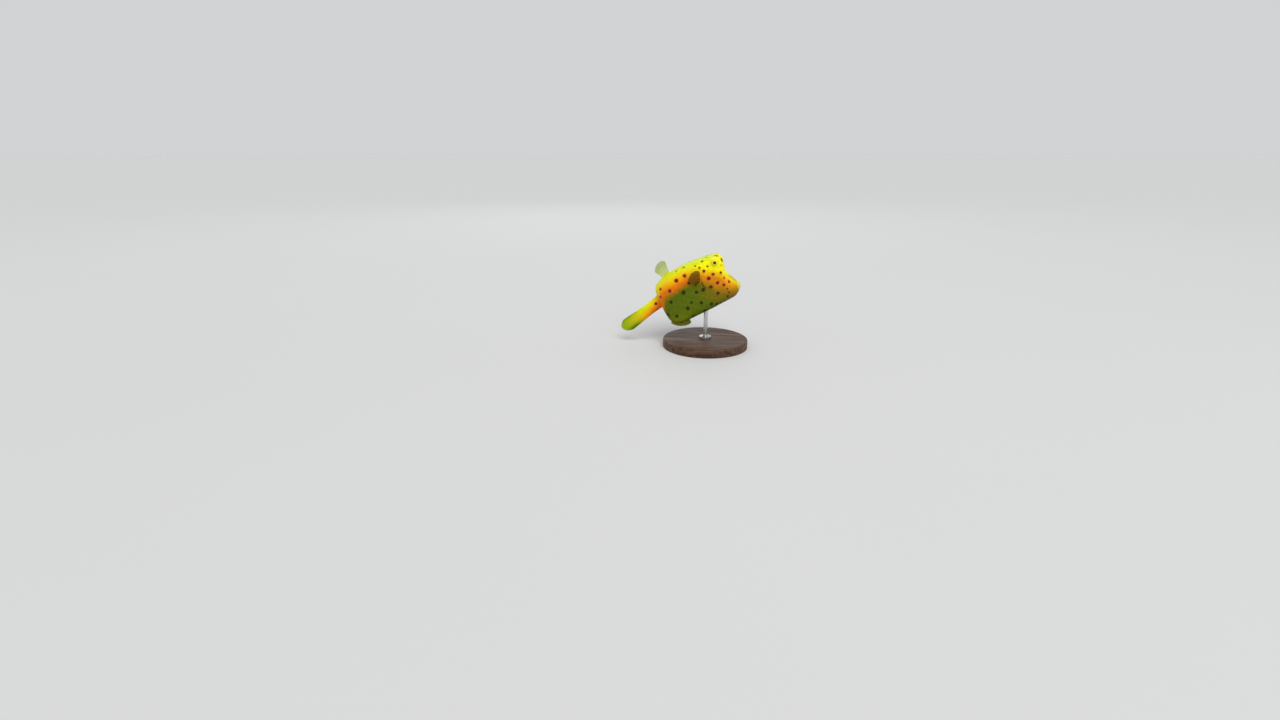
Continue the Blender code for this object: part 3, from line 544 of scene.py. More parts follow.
def surface_tree(grid):
    """The bare body, by every fourth ring and point, as a surface to cast rays on."""
    small = grid[::4, ::4]
    faces = tube_quads(*small.shape[:2])
    return BVHTree.FromPolygons(small.reshape(-1, 3).tolist(), faces.tolist())


def cast(tree, start, way):
    """Where a ray meets the body, or None."""
    return tree.ray_cast(Vector(start), Vector(way))[0]


def camera_axes():
    a, e = CAMERA_AZIMUTH, CAMERA_ELEVATION
    right = Vector((math.cos(a), math.sin(a), 0))
    up = Vector((-math.sin(a) * math.sin(e), math.cos(a) * math.sin(e), math.cos(e)))
    back = Vector((math.sin(a) * math.cos(e), -math.cos(a) * math.cos(e), math.sin(e)))
    return right, up, back


def through_pixel(tree, x, y):
    """The body's point, in the fish's frame, that the camera sees at a pixel of the photo."""
    right, up, back = camera_axes()
    way = right * (x - FRAME_WIDTH / 2) + up * (FRAME_HEIGHT / 2 - y) - back * FOCAL_PIXELS
    inverse = fish_matrix().inverted()
    return cast(tree, inverse @ Vector(CAMERA_AT), inverse.to_3x3() @ way.normalized())


def spot_list(tree, seeds):
    """Centres and radii of the spots, in the fish's frame.

    Those of the photo come first, then their twins on the left flank, and then small ones on plates
    of the back and the belly.
    """
    random = np.random.default_rng(SPOT_SEED)
    centres, radii = [], []

    def add(point, radius):
        if all((point - other).length > (radius + r) * SPOT_GAP for other, r in zip(centres, radii)):
            centres.append(point)
            radii.append(radius)

    for x, y, radius in SPOTS:
        point = through_pixel(tree, x, y)
        if point:
            add(point, SPOT_SHARPENING * radius * MM)
    seen = list(zip(centres, radii))
    for point, radius in seen:
        shift = Vector((*random.uniform(-1.0, 1.0, 3),)) * MM
        twin = Vector((point.x, -point.y, point.z)) + shift
        found = tree.find_nearest(twin)[0]
        add(found, radius * random.uniform(0.85, 1.12))
    for seed in seeds:
        point = Vector(seed)
        on_snout = point.x > -6 * MM
        on_flank = abs(point.y) > 13.5 * MM and point.z > 0
        if on_snout or on_flank:
            continue
        on_back = point.z > 30 * MM and point.y > -2 * MM
        on_belly = point.z < 0 and point.x < -16 * MM
        if on_back and random.random() < 0.5:
            add(point, random.uniform(0.7, 1.2) * MM)
        elif on_belly and random.random() < 0.22:
            add(point, random.uniform(0.7, 1.1) * MM)
    return centres, radii


def spot_distance(points, centres, radii):
    """How far each point is outside the nearest spot's edge, in millimetres."""
    result = np.full(len(points), FAR_OFF)
    for centre, radius in zip(centres, radii):
        centre = np.array(centre)
        close = np.nonzero(np.abs(points - centre).max(1) < radius + 3 * MM)[0]
        away = (np.linalg.norm(points[close] - centre, axis=1) - radius) / MM
        result[close] = np.minimum(result[close], away)
    return result


def blush(points, tree):
    """How much further than its zone the skin turns orange at the blush, in millimetres."""
    centre = np.array(through_pixel(tree, *BLUSH_AT))
    away = np.linalg.norm(points - centre, axis=1) / MM
    return BLUSH_STRENGTH * bell(away, BLUSH_RADIUS)


def eye_place(tree, side):
    """The eyeball's centre from its solid, the way its socket faces and the way it looks."""
    low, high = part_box("eye_left" if side > 0 else "eye_right")
    centre = fish_matrix().inverted() @ ((Vector(low) + Vector(high)) / 2)
    point = cast(tree, (-EYE_BEHIND, side * FAR, EYE_UP), (0, -side, 0))
    out = (point - centre).normalized()
    return centre, out, (0.35 * out + Vector((0, 0.65 * side, 0))).normalized()


def placed(fin, root, blade, base):
    """A fin with its root's middle, and the ways of its middle ray and its root line."""
    return {**fin, "root": root, "blade": blade.normalized(), "base": base.normalized()}


def fin_shapes(tree):
    """All fins, by the node that each one stands for."""
    shapes = {}
    swing = math.radians(PECTORAL_SWING)
    for node, (side, lift) in PECTORAL_LIFTS.items():
        root = cast(tree, (-PECTORAL_BEHIND, side * FAR, PECTORAL_UP), (0, -side, 0))
        blade = rearward(lift) * math.cos(swing) + Vector((0, side * math.sin(swing), 0))
        base = rearward(lift - 90) - Vector((0, 0, 0.3))
        shapes[node] = placed(PECTORAL_FIN, root, blade, base)
        shapes[node]["bend"] = [side * bend for bend in PECTORAL_FIN["bend"]]
    over = cast(tree, (-DORSAL_BEHIND, 0, FAR), (0, 0, -1))
    shapes["dorsal_fin"] = placed(DORSAL_FIN, over, *map(rearward, DORSAL_FIN["ways"]))
    under = cast(tree, (-ANAL_BEHIND, 0, -FAR), (0, 0, 1)) + Vector((0, 0, ANAL_RAISE))
    shapes["anal_fin"] = placed(ANAL_FIN, under, *map(rearward, ANAL_FIN["ways"]))
    droop = tail_frame()[2]
    shapes["caudal_fin"] = placed(CAUDAL_FIN, stalk_centre(1.0), droop, Vector((0, 1, 0)).cross(droop))
    return shapes


def eye_relief(flat, centre, way):
    """A rim round the eye, and a well that the eyeball fills. This and the other reliefs give the
    rise of each point, and how soft, and so free of plates, the skin is there."""
    off = flat - np.array(centre)
    level = off @ np.array(way)
    out = np.sqrt(np.maximum((off**2).sum(1) - level**2, 0))
    rim = RIM_RISE * bell(out - RIM_RADIUS, RIM_WIDTH)
    well = WELL_DEPTH * (1 - smooth_step(out, WELL_INNER, WELL_OUTER))
    soft = 1 - smooth_step(out, 4.2 * MM, 6.2 * MM)
    return np.where(level > 0, rim - well, 0), np.where(level > 0, soft, 0)


def root_relief(flat, shape):
    """A soft swelling along a fin's root line."""
    half = shape["base"] * shape["width"] / 2
    near = near_segment(flat, shape["root"] - half, shape["root"] + half)
    return ROOT_RISE * bell(near, ROOT_REACH), 1 - smooth_step(near, *ROOT_SOFT)


def gill_relief(flat, side):
    """A soft flap that ends in a narrow slit, in front of each pectoral fin."""
    behind, up = -flat[:, 0], flat[:, 2]
    share = (GILL_TOP - up) / (GILL_TOP - GILL_LOW)
    ends = smooth_step(share, -0.05, 0.22) * (1 - smooth_step(share, 0.78, 1.05))
    ends = np.where(flat[:, 1] * side > 5 * MM, ends, 0)
    bow = GILL_BOW * np.sin(math.pi * np.clip(share, 0, 1))
    off = behind - (GILL_BEHIND + bow)
    flap = smooth_step(off, -3.4 * MM, 0.25 * MM) * (1 - smooth_step(off, 0.3 * MM, 0.65 * MM))
    slit = bell(off - SLIT_OFF, SLIT_WIDTH)
    soft = ends * (1 - smooth_step(np.abs(off + 0.6 * MM), 3.0 * MM, 4.4 * MM))
    return ends * (FLAP_RISE * flap - SLIT_DEPTH * slit), soft


def nostril_relief(flat, nostril):
    """A small hole with a raised rim."""
    away = np.linalg.norm(flat - nostril, axis=1)
    rim = NOSTRIL_RIM_RISE * bell(away - NOSTRIL_RIM, NOSTRIL_RIM_WIDTH)
    hole = NOSTRIL_DEPTH * bell(away, NOSTRIL_HOLE)
    return rim - hole, 1 - smooth_step(away, 1.0 * MM, 2.4 * MM)


def find_nostrils(grid, place):
    """The points of the head that come nearest to the nostrils' places."""
    head = grid[(place > 0.05) & (place < 0.4)].reshape(-1, 3)
    found = []
    for side in (1, -1):
        away = np.hypot(head[:, 1] - side * NOSTRIL_OUT, head[:, 2] - NOSTRIL_UP)
        found.append(head[np.argmin(away)])
    return found


def skin_relief(grid, place, seeds, eyes, shapes):
    """Outward shift of each skin point, how plated it is, and its distance from a groove's middle."""
    flat = grid.reshape(-1, 3)
    reliefs = [eye_relief(flat, centre, way) for centre, way, _ in eyes]
    reliefs += [root_relief(flat, shape) for node, shape in shapes.items() if node != "caudal_fin"]
    reliefs += [gill_relief(flat, side) for side in (1, -1)]
    reliefs += [nostril_relief(flat, nostril) for nostril in find_nostrils(grid, place)]
    rise = sum(relief for relief, _ in reliefs)
    soft = np.max([softness for _, softness in reliefs], axis=0)
    where = np.repeat(place, COLUMNS)
    plated = smooth_step(where, 0.045, 0.12) * (1 - smooth_step(where, 0.965, 0.995)) * (1 - soft)
    nearest, border = nearest_two(flat, seeds)
    top = smooth_step(border, 0.0, GROOVE_WIDTH)
    away = np.linalg.norm(flat - seeds[nearest], axis=1)
    dome = PLATE_DOME * np.clip(1 - (away / (0.55 * PLATE_SIZE)) ** 2, 0, 1)
    return rise + plated * (PLATE_RISE * (top - 1) + dome), plated, border


def link(obj):
    bpy.context.scene.collection.objects.link(obj)
    return obj


def mesh_object(name, points, quads, material, smooth=True):
    """A mesh from arrays of points and four-sided faces."""
    mesh = bpy.data.meshes.new(name)
    quads = np.asarray(quads, np.int32)
    mesh.vertices.add(len(points))
    mesh.vertices.foreach_set("co", np.asarray(points, np.float32).ravel())
    mesh.loops.add(quads.size)
    mesh.loops.foreach_set("vertex_index", quads.ravel())
    mesh.polygons.add(len(quads))
    mesh.polygons.foreach_set("loop_start", np.arange(0, quads.size, 4, dtype=np.int32))
    mesh.update(calc_edges=True)
    mesh.validate()
    if smooth:
        mesh.shade_smooth()
    mesh.materials.append(material)
    return link(bpy.data.objects.new(name, mesh))


def paint(obj, name, values):
    """Keeps a value at each point for the material to read."""
    layer = obj.data.attributes.new(name, "FLOAT", "POINT")
    layer.data.foreach_set("value", np.asarray(values, np.float32))


def make_skin(grid, place, tree, eyes, shapes, material):
    """The skin, with the values that its material reads.

    warm is how far a point is below the line where orange starts, and shade how far below the one where
    olive, partly painted shade of the lower flank, starts. Both are in millimetres, and negative above
    the line.
    """
    seeds = plate_seeds(grid, place)
    rise, plated, border = skin_relief(grid, place, seeds, eyes, shapes)
    flat = grid.reshape(-1, 3)
    points = flat + grid_normals(grid).reshape(-1, 3) * rise[:, None]
    skin = mesh_object("skin", points, tube_quads(len(grid), COLUMNS), material)
    up, behind = flat[:, 2] / MM, -flat[:, 0] / MM
    blur = 2.0 - smooth_step(behind, 18, 42)
    paint(skin, "spot", spot_distance(flat, *spot_list(tree, seeds)))
    paint(skin, "border", border / MM)
    paint(skin, "plated", plated)
    paint(skin, "lip", 1 - smooth_step(np.repeat(place, COLUMNS), -0.005, 0.045))
    paint(skin, "warm", along_line(ORANGE_FROM, behind) - up + blush(flat, tree))
    paint(skin, "shade", (along_line(OLIVE_FROM, behind) - up) / blur)
    paint(skin, "up", up)
    paint(skin, "behind", behind)
    return skin


def fan_points(shape):
    """Both faces of a fin as grids, and at each point how much of it is ray, and how far out it is."""
    rays = shape["rays"]
    across = np.linspace(-1, 1, rays * RAY_COLUMNS + 1)[None, :]
    along = np.linspace(0, 1, FIN_ROWS)[:, None] ** 0.9
    # The rays fork towards the tip
    off_ray = np.abs(np.mod((across + 1) / 2 * rays, 1.0) - 0.5) * 2
    split = 0.40 * smooth_step(along, 0.42, 1.0)
    ray = bell(off_ray - split, 0.27 - 0.08 * along)
    # The edge is rounded and slanted, and notched a little between the rays
    reach = shape["length"] * (1 - shape["round"] * np.abs(across) ** 2.4)
    reach = reach * (1 + shape["lean"] * across) * (1 - 0.035 * off_ray**2)
    angle = across * math.radians(shape["spread"]) / 2
    blade, base = np.array(shape["blade"]), np.array(shape["base"])
    side = np.cross(blade, base)
    side /= np.linalg.norm(side)
    way = np.cos(angle)[..., None] * blade + np.sin(angle)[..., None] * base
    start = np.array(shape["root"]) + across[..., None] * base * shape["width"] / 2 - way * ROOT_SINK
    middle = start + way * (along * (reach + ROOT_SINK))[..., None]
    # The fin is bowed and twisted, and waves a little
    wave = 0.12 * MM * np.sin(along * 9 + across * 7) * along
    sway = shape["bend"][0] * along**2 + shape["bend"][1] * along * across + wave
    middle = middle + sway[..., None] * side
    # The rays are jointed and thicker than the membrane, and all thins out at the fin's edges
    root, tip = shape["thick"]
    joint = 1 + 0.10 * np.cos(2 * math.pi * along * reach / (0.75 * MM))
    thick = (root + (tip - root) * along**0.7) * (0.30 + 0.70 * ray * joint)
    thick = thick * np.sqrt(np.clip((1.004 - along) / 0.05, 0.05, 1))
    edge = np.clip((1.0 - np.abs(across)) * rays * 1.6, 0.25, 1)
    half = (0.5 * thick * edge)[..., None] * side
    return middle - half, middle + half, ray, along * np.ones_like(across)


def make_fin(name, shape, material, fleshy):
    """A closed fin of two faces and a rim, with the values that its material reads."""
    inner, outer, ray, along = fan_points(shape)
    rows, columns = inner.shape[:2]
    count = rows * columns
    points = np.vstack([inner.reshape(-1, 3), outer.reshape(-1, 3)])
    i, j = np.meshgrid(np.arange(rows - 1), np.arange(columns - 1), indexing="ij")
    a = (i * columns + j).ravel()
    face = np.stack([a, a + columns, a + columns + 1, a + 1], -1)
    back = face[:, ::-1] + count
    border = list(range(columns))
    border += [r * columns + columns - 1 for r in range(1, rows)]
    border += [(rows - 1) * columns + c for c in range(columns - 2, -1, -1)]
    border += [r * columns for r in range(rows - 2, 0, -1)]
    border = np.array(border)
    after = np.roll(border, -1)
    rim = np.stack([border, after, after + count, border + count], -1)
    fin = mesh_object(name, points, np.vstack([face, back, rim]), material)
    across = np.broadcast_to(np.linspace(-1, 1, columns), (rows, columns))
    for value, grid in (("ray", ray), ("along", along), ("across", across)):
        paint(fin, value, np.tile(grid.ravel(), 2))
    if fleshy:
        paint(fin, "warm", along_line(ORANGE_FROM, -points[:, 0] / MM) - points[:, 2] / MM)
    return fin


def make_eye(name, centre, way, material):
    """An eyeball, turned to look its way, whose clear front bulges a little over the iris."""
    profile = []
    for k in range(EYE_ROWS):
        angle = (k + 0.1) / EYE_ROWS * EYE_SWEEP
        r, z = EYE_RADIUS * math.sin(angle), EYE_RADIUS * math.cos(angle)
        bulge = CORNEA_BULGE * max(0.0, 1 - (r / IRIS_RADIUS) ** 2)
        profile.append((r, z + bulge))
    profile.append((0.001 * MM, profile[-1][1]))
    radius, height = np.repeat(profile, EYE_SIDES, axis=0).T
    turn = np.tile(np.arange(EYE_SIDES) * 2 * math.pi / EYE_SIDES, len(profile))
    points = np.column_stack([radius * np.cos(turn), radius * np.sin(turn), height])
    facing = np.array(Vector((0, 0, 1)).rotation_difference(way).to_matrix())
    quads = tube_quads(len(profile), EYE_SIDES)[:, ::-1]
    eye = mesh_object(name, points @ facing.T + np.array(centre), quads, material)
    paint(eye, "out", np.where(height > 0, radius / MM, FAR_OFF))
    paint(eye, "turn", np.arctan2(points[:, 1], points[:, 0]))
    return eye


class Nodes:
    """Short calls for a material's node tree."""

    def __init__(self, name):
        self.material = bpy.data.materials.new(name)
        self.material.use_nodes = True
        self.tree = self.material.node_tree
        self.shader = self.tree.nodes["Principled BSDF"]

    def add(self, kind, **settings):
        node = self.tree.nodes.new(kind)
        for key, value in settings.items():
            setattr(node, key, value)
        return node

    def put(self, node, socket, value):
        """Links an output to a socket, or sets the socket's own value."""
        target = node.inputs[socket]
        if isinstance(value, bpy.types.NodeSocket):
            self.tree.links.new(value, target)
        elif isinstance(value, tuple) and len(value) == 3 and target.type == "RGBA":
            target.default_value = (*value, 1.0)
        else:
            target.default_value = value

    def finish(self, looks):
        """Puts values on the shader's sockets, and gives the material."""
        for socket, value in looks.items():
            self.put(self.shader, socket, value)
        return self.material

    def attribute(self, name):
        return self.add("ShaderNodeAttribute", attribute_name=name).outputs["Fac"]

    def math(self, kind, *values):
        node = self.add("ShaderNodeMath", operation=kind)
        for i, value in enumerate(values):
            self.put(node, i, value)
        return node.outputs[0]

    def plus(self, first, second):
        return self.math("ADD", first, second)

    def times(self, first, *others):
        for other in others:
            first = self.math("MULTIPLY", first, other)
        return first

    def ramp(self, value, low, high):
        """0 at low and 1 at high, smooth in between. low may be the larger one."""
        node = self.add("ShaderNodeMapRange", interpolation_type="SMOOTHSTEP")
        self.put(node, "Value", value)
        self.put(node, "From Min", low)
        self.put(node, "From Max", high)
        return node.outputs["Result"]

    def mix(self, share, first, second):
        node = self.add("ShaderNodeMix", data_type="RGBA")
        self.put(node, "Factor", share)
        self.put(node, 6, first)
        self.put(node, 7, second)
        return node.outputs[2]

    def where(self):
        return self.add("ShaderNodeTexCoord").outputs["Object"]

    def stretched(self, scale):
        """Object coordinates, scaled by a factor for each axis."""
        node = self.add("ShaderNodeMapping")
        self.put(node, "Vector", self.where())
        self.put(node, "Scale", scale)
        return node.outputs["Vector"]

    def noise(self, scale, detail=3.0, rough=0.5, vector=None, distortion=0.0):
        node = self.add("ShaderNodeTexNoise")
        self.put(node, "Vector", self.where() if vector is None else vector)
        self.put(node, "Scale", scale)
        self.put(node, "Detail", detail)
        self.put(node, "Roughness", rough)
        self.put(node, "Distortion", distortion)
        return node.outputs["Fac"]

    def unevenness(self, scale, size):
        """A noise about zero, for the borders between colours."""
        return self.times(self.math("SUBTRACT", self.noise(scale, 4.0), 0.5), size)

    def cells(self, scale):
        node = self.add("ShaderNodeTexVoronoi")
        self.put(node, "Vector", self.where())
        self.put(node, "Scale", scale)
        return node.outputs["Distance"]

    def bump(self, height, distance, strength):
        node = self.add("ShaderNodeBump")
        self.put(node, "Strength", strength)
        self.put(node, "Distance", distance)
        self.put(node, "Height", height)
        return node.outputs["Normal"]


def back_colour(n, warm, shade, up, behind):
    """Lemon, yellow and gold, brighter on the cheek, with painted shade dulling the front of the muzzle,
    and the orange band.
    """
    colour = n.mix(n.ramp(warm, -8.0, -2.5), LEMON, YELLOW)
    cheek = n.times(n.ramp(behind, 36.0, 24.0), n.ramp(up, 40.5, 36.0))
    colour = n.mix(cheek, colour, BRIGHT)
    colour = n.mix(n.ramp(warm, -5.0, 1.0), colour, GOLD)
    # Painted shade on the front of the muzzle above the mouth
    muzzle_shade = n.times(n.ramp(behind, 12.0, 4.0), n.ramp(warm, -1.0, -4.0), n.ramp(up, 20.0, 13.0))
    colour = n.mix(muzzle_shade, colour, MUZZLE_SHADE)
    orange = n.mix(n.ramp(behind, 38.0, 18.0), ORANGE, AMBER)
    orange = n.mix(n.ramp(behind, 13.0, 5.0), orange, PEACH)
    rusty = n.times(n.ramp(behind, 57.0, 67.0), n.ramp(shade, -9.0, -3.0), n.ramp(behind, 84.0, 75.0))
    orange = n.mix(rusty, orange, RUST)
    return n.mix(n.ramp(warm, -0.5, 6.5), colour, orange)


def belly_colour_and_shade(n, cloud, up, behind):
    """Olive, lighter low at the rear, and mustard and brown towards the snout: partly the fish's own
    colour and partly painted shade of the lower flank and belly, as if lit from above.
    """
    level = n.plus(up, cloud)
    low = n.times(n.ramp(level, 8.0, -4.0), n.ramp(behind, 45.0, 62.0))
    colour = n.mix(low, OLIVE, OLIVE_LOW)
    high = n.ramp(n.plus(level, n.times(n.ramp(behind, 32.0, 21.0), 8.0)), 0.0, 10.0)
    colour = n.mix(n.times(n.ramp(behind, 43.0, 22.0), high), colour, MUSTARD)
    return n.mix(n.ramp(behind, 20.0, 6.0), colour, BROWN)


def add_spots(n, colour, warm, shade, behind):
    """Spots: greenish in the yellow, red with a halo in the orange, and black or brown below the olive
    line, the black deeper in the lower flank's painted shade.
    """
    edge = n.plus(n.attribute("spot"), n.unevenness(420.0, 1.5))
    faint = n.mix(n.ramp(behind, 34.0, 20.0), SPOT_FAINT, SPOT_GREEN)
    dark = n.mix(n.ramp(warm, -13.0, -7.0), faint, SPOT_GREEN)
    dark = n.mix(n.ramp(warm, -7.0, -1.0), dark, SPOT_RED)
    # Below the olive line: brown near the snout just under the line, black deeper in the painted shade
    brown = n.times(n.ramp(behind, 44.0, 24.0), n.ramp(shade, 8.0, 3.0))
    dark = n.mix(n.ramp(shade, -3.0, 2.0), dark, n.mix(brown, SPOT_BLACK, SPOT_BROWN))
    halo = n.times(n.ramp(warm, -3.0, 2.0), n.ramp(shade, 0.0, -3.0), n.ramp(edge, 1.5, 0.5), 0.55)
    colour = n.mix(halo, colour, SPOT_HALO)
    colour = n.mix(n.times(n.ramp(edge, 0.75, 0.1), 0.35), colour, dark)
    return n.mix(n.ramp(edge, 0.2, -0.3), colour, dark)


def skin_material():
    """All ramps of the skin's values are in millimetres."""
    n = Nodes("skin")
    up, behind = n.attribute("up"), n.attribute("behind")
    cloud = n.unevenness(70.0, 6.0)
    warm = n.plus(n.attribute("warm"), cloud)
    shade = n.plus(n.attribute("shade"), cloud)
    colour = back_colour(n, warm, shade, up, behind)
    # Below the olive line the belly's colours, partly painted shade of the lower flank
    colour = n.mix(n.ramp(shade, -5.5, 5.0), colour, belly_colour_and_shade(n, cloud, up, behind))
    grain = n.noise(1300.0, rough=0.6)
    colour = n.mix(n.times(n.ramp(grain, 0.45, 0.7), 0.16), colour, GRAIN)
    groove = n.times(n.ramp(n.attribute("border"), 0.45, 0.05), n.attribute("plated"), 0.16)
    colour = n.mix(groove, colour, GROOVE)
    colour = add_spots(n, colour, warm, shade, behind)
    colour = n.mix(n.times(n.attribute("lip"), 0.85), colour, LIP_PALE)
    knobs = n.times(n.math("SUBTRACT", 1.0, n.cells(1900.0)), n.attribute("plated"))
    relief = n.plus(knobs, n.times(n.noise(1500.0), 0.4))
    return n.finish({
        "Base Color": colour, "Roughness": n.plus(0.36, n.times(n.noise(500.0), 0.18)),
        "Specular IOR Level": 0.30, "Specular Tint": (1.0, 0.86, 0.30),
        "Subsurface Weight": 0.06, "Subsurface Radius": (1.2 * MM, 0.6 * MM, 0.2 * MM),
        "Subsurface Scale": 1.0, "Normal": n.bump(relief, 0.12 * MM, 0.5),
    })


def fleshy_colour(n, colour, along, level, mottle):
    """Carries the skin's colours on over the root, and darkens the tail fin's edges: a thin darker edge
    along the top, and painted shade along the lower edge.
    """
    warm = n.attribute("warm")
    flesh = n.mix(n.ramp(warm, -8.0, -2.5), LEMON, YELLOW)
    flesh = n.mix(n.ramp(warm, -5.0, 1.0), flesh, GOLD)
    flesh = n.mix(n.ramp(warm, -0.5, 6.5), flesh, ORANGE)
    colour = n.mix(n.ramp(n.plus(along, mottle), 0.08, 0.42), flesh, colour)
    off = n.math("ABSOLUTE", n.math("SUBTRACT", level, 0.15))
    return n.mix(n.times(n.ramp(off, 0.42, 1.0), n.ramp(along, 0.3, 0.75)), colour, TAIL_EDGE_AND_SHADE)


def fin_material(name, root, high, low, tip, ray, solid, fleshy=False):
    """along runs from 0 at the root to 1 at the tip, and across from -1 (low) to 1 (high)."""
    n = Nodes(name)
    along, rays = n.attribute("along"), n.attribute("ray")
    mottle = n.unevenness(220.0, 0.35)
    level = n.plus(n.attribute("across"), mottle)
    colour = n.mix(n.ramp(level, 0.1, 0.9), n.mix(n.ramp(level, 0.1, -0.9), root, low), high)
    colour = n.mix(n.ramp(n.plus(along, mottle), 0.12, 1.0), colour, tip)
    bare = n.times(n.ramp(along, 0.12, 0.4), 0.45)
    colour = n.mix(n.times(rays, bare), colour, ray)
    if fleshy:
        colour = fleshy_colour(n, colour, along, level, mottle)
    if solid < 1:
        alpha = n.plus(solid, n.times(rays, 0.8 * (1 - solid)))
        n.put(n.shader, "Alpha", n.math("MAXIMUM", alpha, n.ramp(along, 0.34, 0.1)))
    return n.finish({
        "Base Color": colour, "Roughness": 0.36,
        "Specular IOR Level": 0.30, "Specular Tint": (1.0, 0.92, 0.35),
        "Subsurface Weight": 0.12, "Subsurface Radius": (1.0 * MM, 0.6 * MM, 0.2 * MM),
        "Subsurface Scale": 1.0, "Normal": n.bump(n.noise(2500.0), 0.06 * MM, 0.4),
    })


def eye_material():
    """out is the distance from the pupil's middle in millimetres."""
    n = Nodes("eye")
    out, turn = n.attribute("out"), n.attribute("turn")
    way = n.add("ShaderNodeCombineXYZ")
    n.put(way, "X", n.times(n.math("COSINE", turn), 4.0))
    n.put(way, "Y", n.times(n.math("SINE", turn), 4.0))
    n.put(way, "Z", n.times(out, 0.7))
    flecks = n.noise(2.2, 5.0, vector=way.outputs["Vector"])
    iris = n.mix(n.ramp(flecks, 0.42, 0.62), IRIS_GOLD, IRIS_FLECKS)
    iris = n.mix(n.ramp(out, 1.88, 1.62), iris, IRIS_INSIDE)
    iris = n.mix(n.ramp(out, 2.9, 3.2), iris, IRIS_OUTSIDE)
    line = n.times(n.ramp(out, 2.75, 3.0), n.ramp(out, 3.45, 3.15), 0.4)
    iris = n.mix(line, iris, IRIS_LINE)
    return n.finish({
        "Base Color": n.mix(n.ramp(out, 1.58, 1.46), iris, PUPIL), "Roughness": 0.35,
        "Specular IOR Level": 0.2, "Coat Weight": 0.5, "Coat IOR": 1.38, "Coat Roughness": 0.03,
    })


def wood_material():
    n = Nodes("walnut")
    grain = n.noise(2.2, 8.0, vector=n.stretched((9.0, 210.0, 120.0)), distortion=0.4)
    line = n.ramp(grain, 0.38, 0.64)
    colour = n.mix(n.noise(14.0), WALNUT, WALNUT_DARK)
    return n.finish({
        "Base Color": n.mix(line, colour, WALNUT_GRAIN), "Roughness": n.plus(0.42, n.times(line, 0.15)),
        "Specular IOR Level": 0.3, "Normal": n.bump(grain, 0.08 * MM, 0.4),
    })


def steel_material():
    n = Nodes("brushed_steel")
    scratches = n.noise(1.0, 2.0, vector=n.stretched((300.0, 300.0, 6000.0)))
    return n.finish({
        "Base Color": STEEL, "Metallic": 1.0, "Roughness": n.plus(0.20, n.times(scratches, 0.2)),
        "Normal": n.bump(scratches, 0.01 * MM, 0.3),
    })


def floor_material():
    n = Nodes("floor")
    colour = n.mix(n.noise(3.0), FLOOR, FLOOR_PALE)
    return n.finish({"Base Color": colour, "Roughness": 0.8, "Specular IOR Level": 0.1})


def make_floor():
    size = FLOOR_HALF
    points = [(-size, -size, 0), (size, -size, 0), (size, size, 0), (-size, size, 0)]
    floor = mesh_object("floor", points, [(0, 1, 2, 3)], floor_material(), smooth=False)


def area_light(name, place, aim, size, power):
    light = bpy.data.lights.new(name, "AREA")
    light.shape = "DISK"
    light.size = size
    light.energy = power
    obj = link(bpy.data.objects.new(name, light))
    obj.location = place
    obj.rotation_euler = (Vector(aim) - Vector(place)).to_track_quat("-Z", "Y").to_euler()


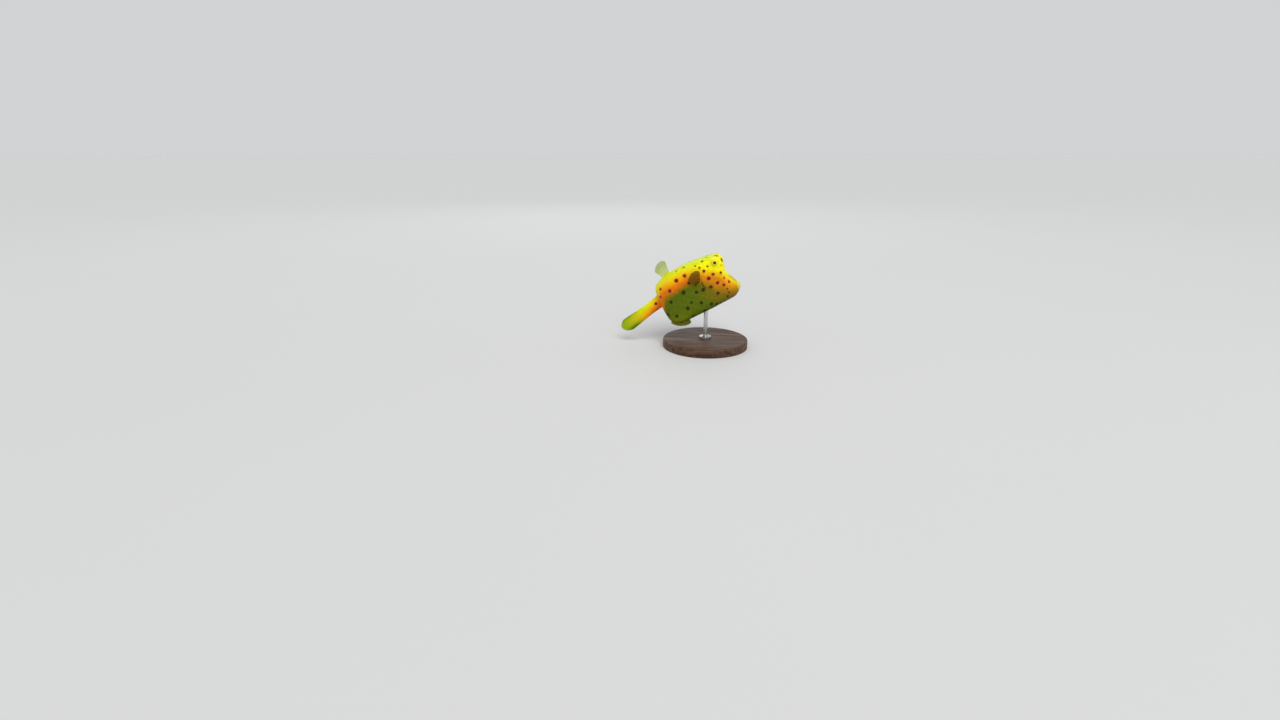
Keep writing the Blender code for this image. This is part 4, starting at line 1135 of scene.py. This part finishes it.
def make_light():
    """A pale sky, a broad sun high on the camera's side, and a soft lamp in front and behind."""
    world = bpy.data.worlds.new("studio")
    world.use_nodes = True
    background = world.node_tree.nodes["Background"]
    background.inputs["Color"].default_value = (0.97, 0.985, 1.0, 1.0)
    background.inputs["Strength"].default_value = 0.66
    bpy.context.scene.world = world
    bpy.context.scene.view_settings.view_transform = "Standard"
    sun = bpy.data.lights.new("top", "SUN")
    sun.energy = 1.75
    sun.angle = math.radians(36)
    sun.color = (1.0, 0.985, 0.95)
    top = link(bpy.data.objects.new("top", sun))
    top.rotation_euler = Vector((0.30, -0.90, 1.1)).to_track_quat("Z", "Y").to_euler()
    aim = (-0.01, 0.0, 0.06)
    area_light("key", (0.90, -1.30, 1.20), aim, 0.8, 4.0)
    area_light("back", (-0.4, 1.4, 1.0), aim, 1.0, 2.0)


def make_camera():
    data = bpy.data.cameras.new("camera")
    data.sensor_width = 36.0
    data.lens = FOCAL_PIXELS * data.sensor_width / FRAME_WIDTH
    data.clip_start = 0.01
    data.clip_end = 100.0
    camera = link(bpy.data.objects.new("camera", data))
    turn = Matrix(camera_axes()).transposed()
    camera.matrix_world = Matrix.Translation(Vector(CAMERA_AT)) @ turn.to_4x4()
    bpy.context.scene.camera = camera


def dress_stand(nodes):
    wood, steel = wood_material(), steel_material()
    for name, material in (("stand_base", wood), ("stand_collar", steel), ("stand_rod", steel)):
        nodes[name].data.materials.clear()
        nodes[name].data.materials.append(material)


def settle(obj, slot, *nodes):
    """Puts a piece made in the fish's frame in its place, and hides the solids that it stands for."""
    obj.data.transform(fish_matrix())
    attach(obj, "root")
    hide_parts(*nodes)


def main():
    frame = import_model()
    make_camera()
    make_light()
    make_floor()
    dress_stand(frame["nodes"])

    grid, place = skin_grid()
    tree = surface_tree(grid)
    eyes = [eye_place(tree, side) for side in (1, -1)]
    shapes = fin_shapes(tree)
    settle(
        make_skin(grid, place, tree, eyes, shapes, skin_material()), "skin",
        "head", "carapace", "tail_stalk", "gill_flap_left", "gill_flap_right", "upper_lip", "lower_lip",
    )
    glass = eye_material()
    for (centre, _, way), node in zip(eyes, ("eye_left", "eye_right")):
        settle(make_eye("look_" + node, centre, way, glass), "eye", node)
    looks = {name: fin_material(name, **look) for name, look in FIN_LOOKS.items()}
    for node, look in (
        ("caudal_fin", "tail_fin"), ("dorsal_fin", "dorsal_fin"), ("anal_fin", "anal_fin"),
        ("pectoral_fin_left", "pectoral_fins"), ("pectoral_fin_right", "pectoral_fins"),
    ):
        fleshy = node == "caudal_fin"
        settle(make_fin("look_" + node, shapes[node], looks[look], fleshy), "fin", node)

    bpy.context.view_layer.update()


main()
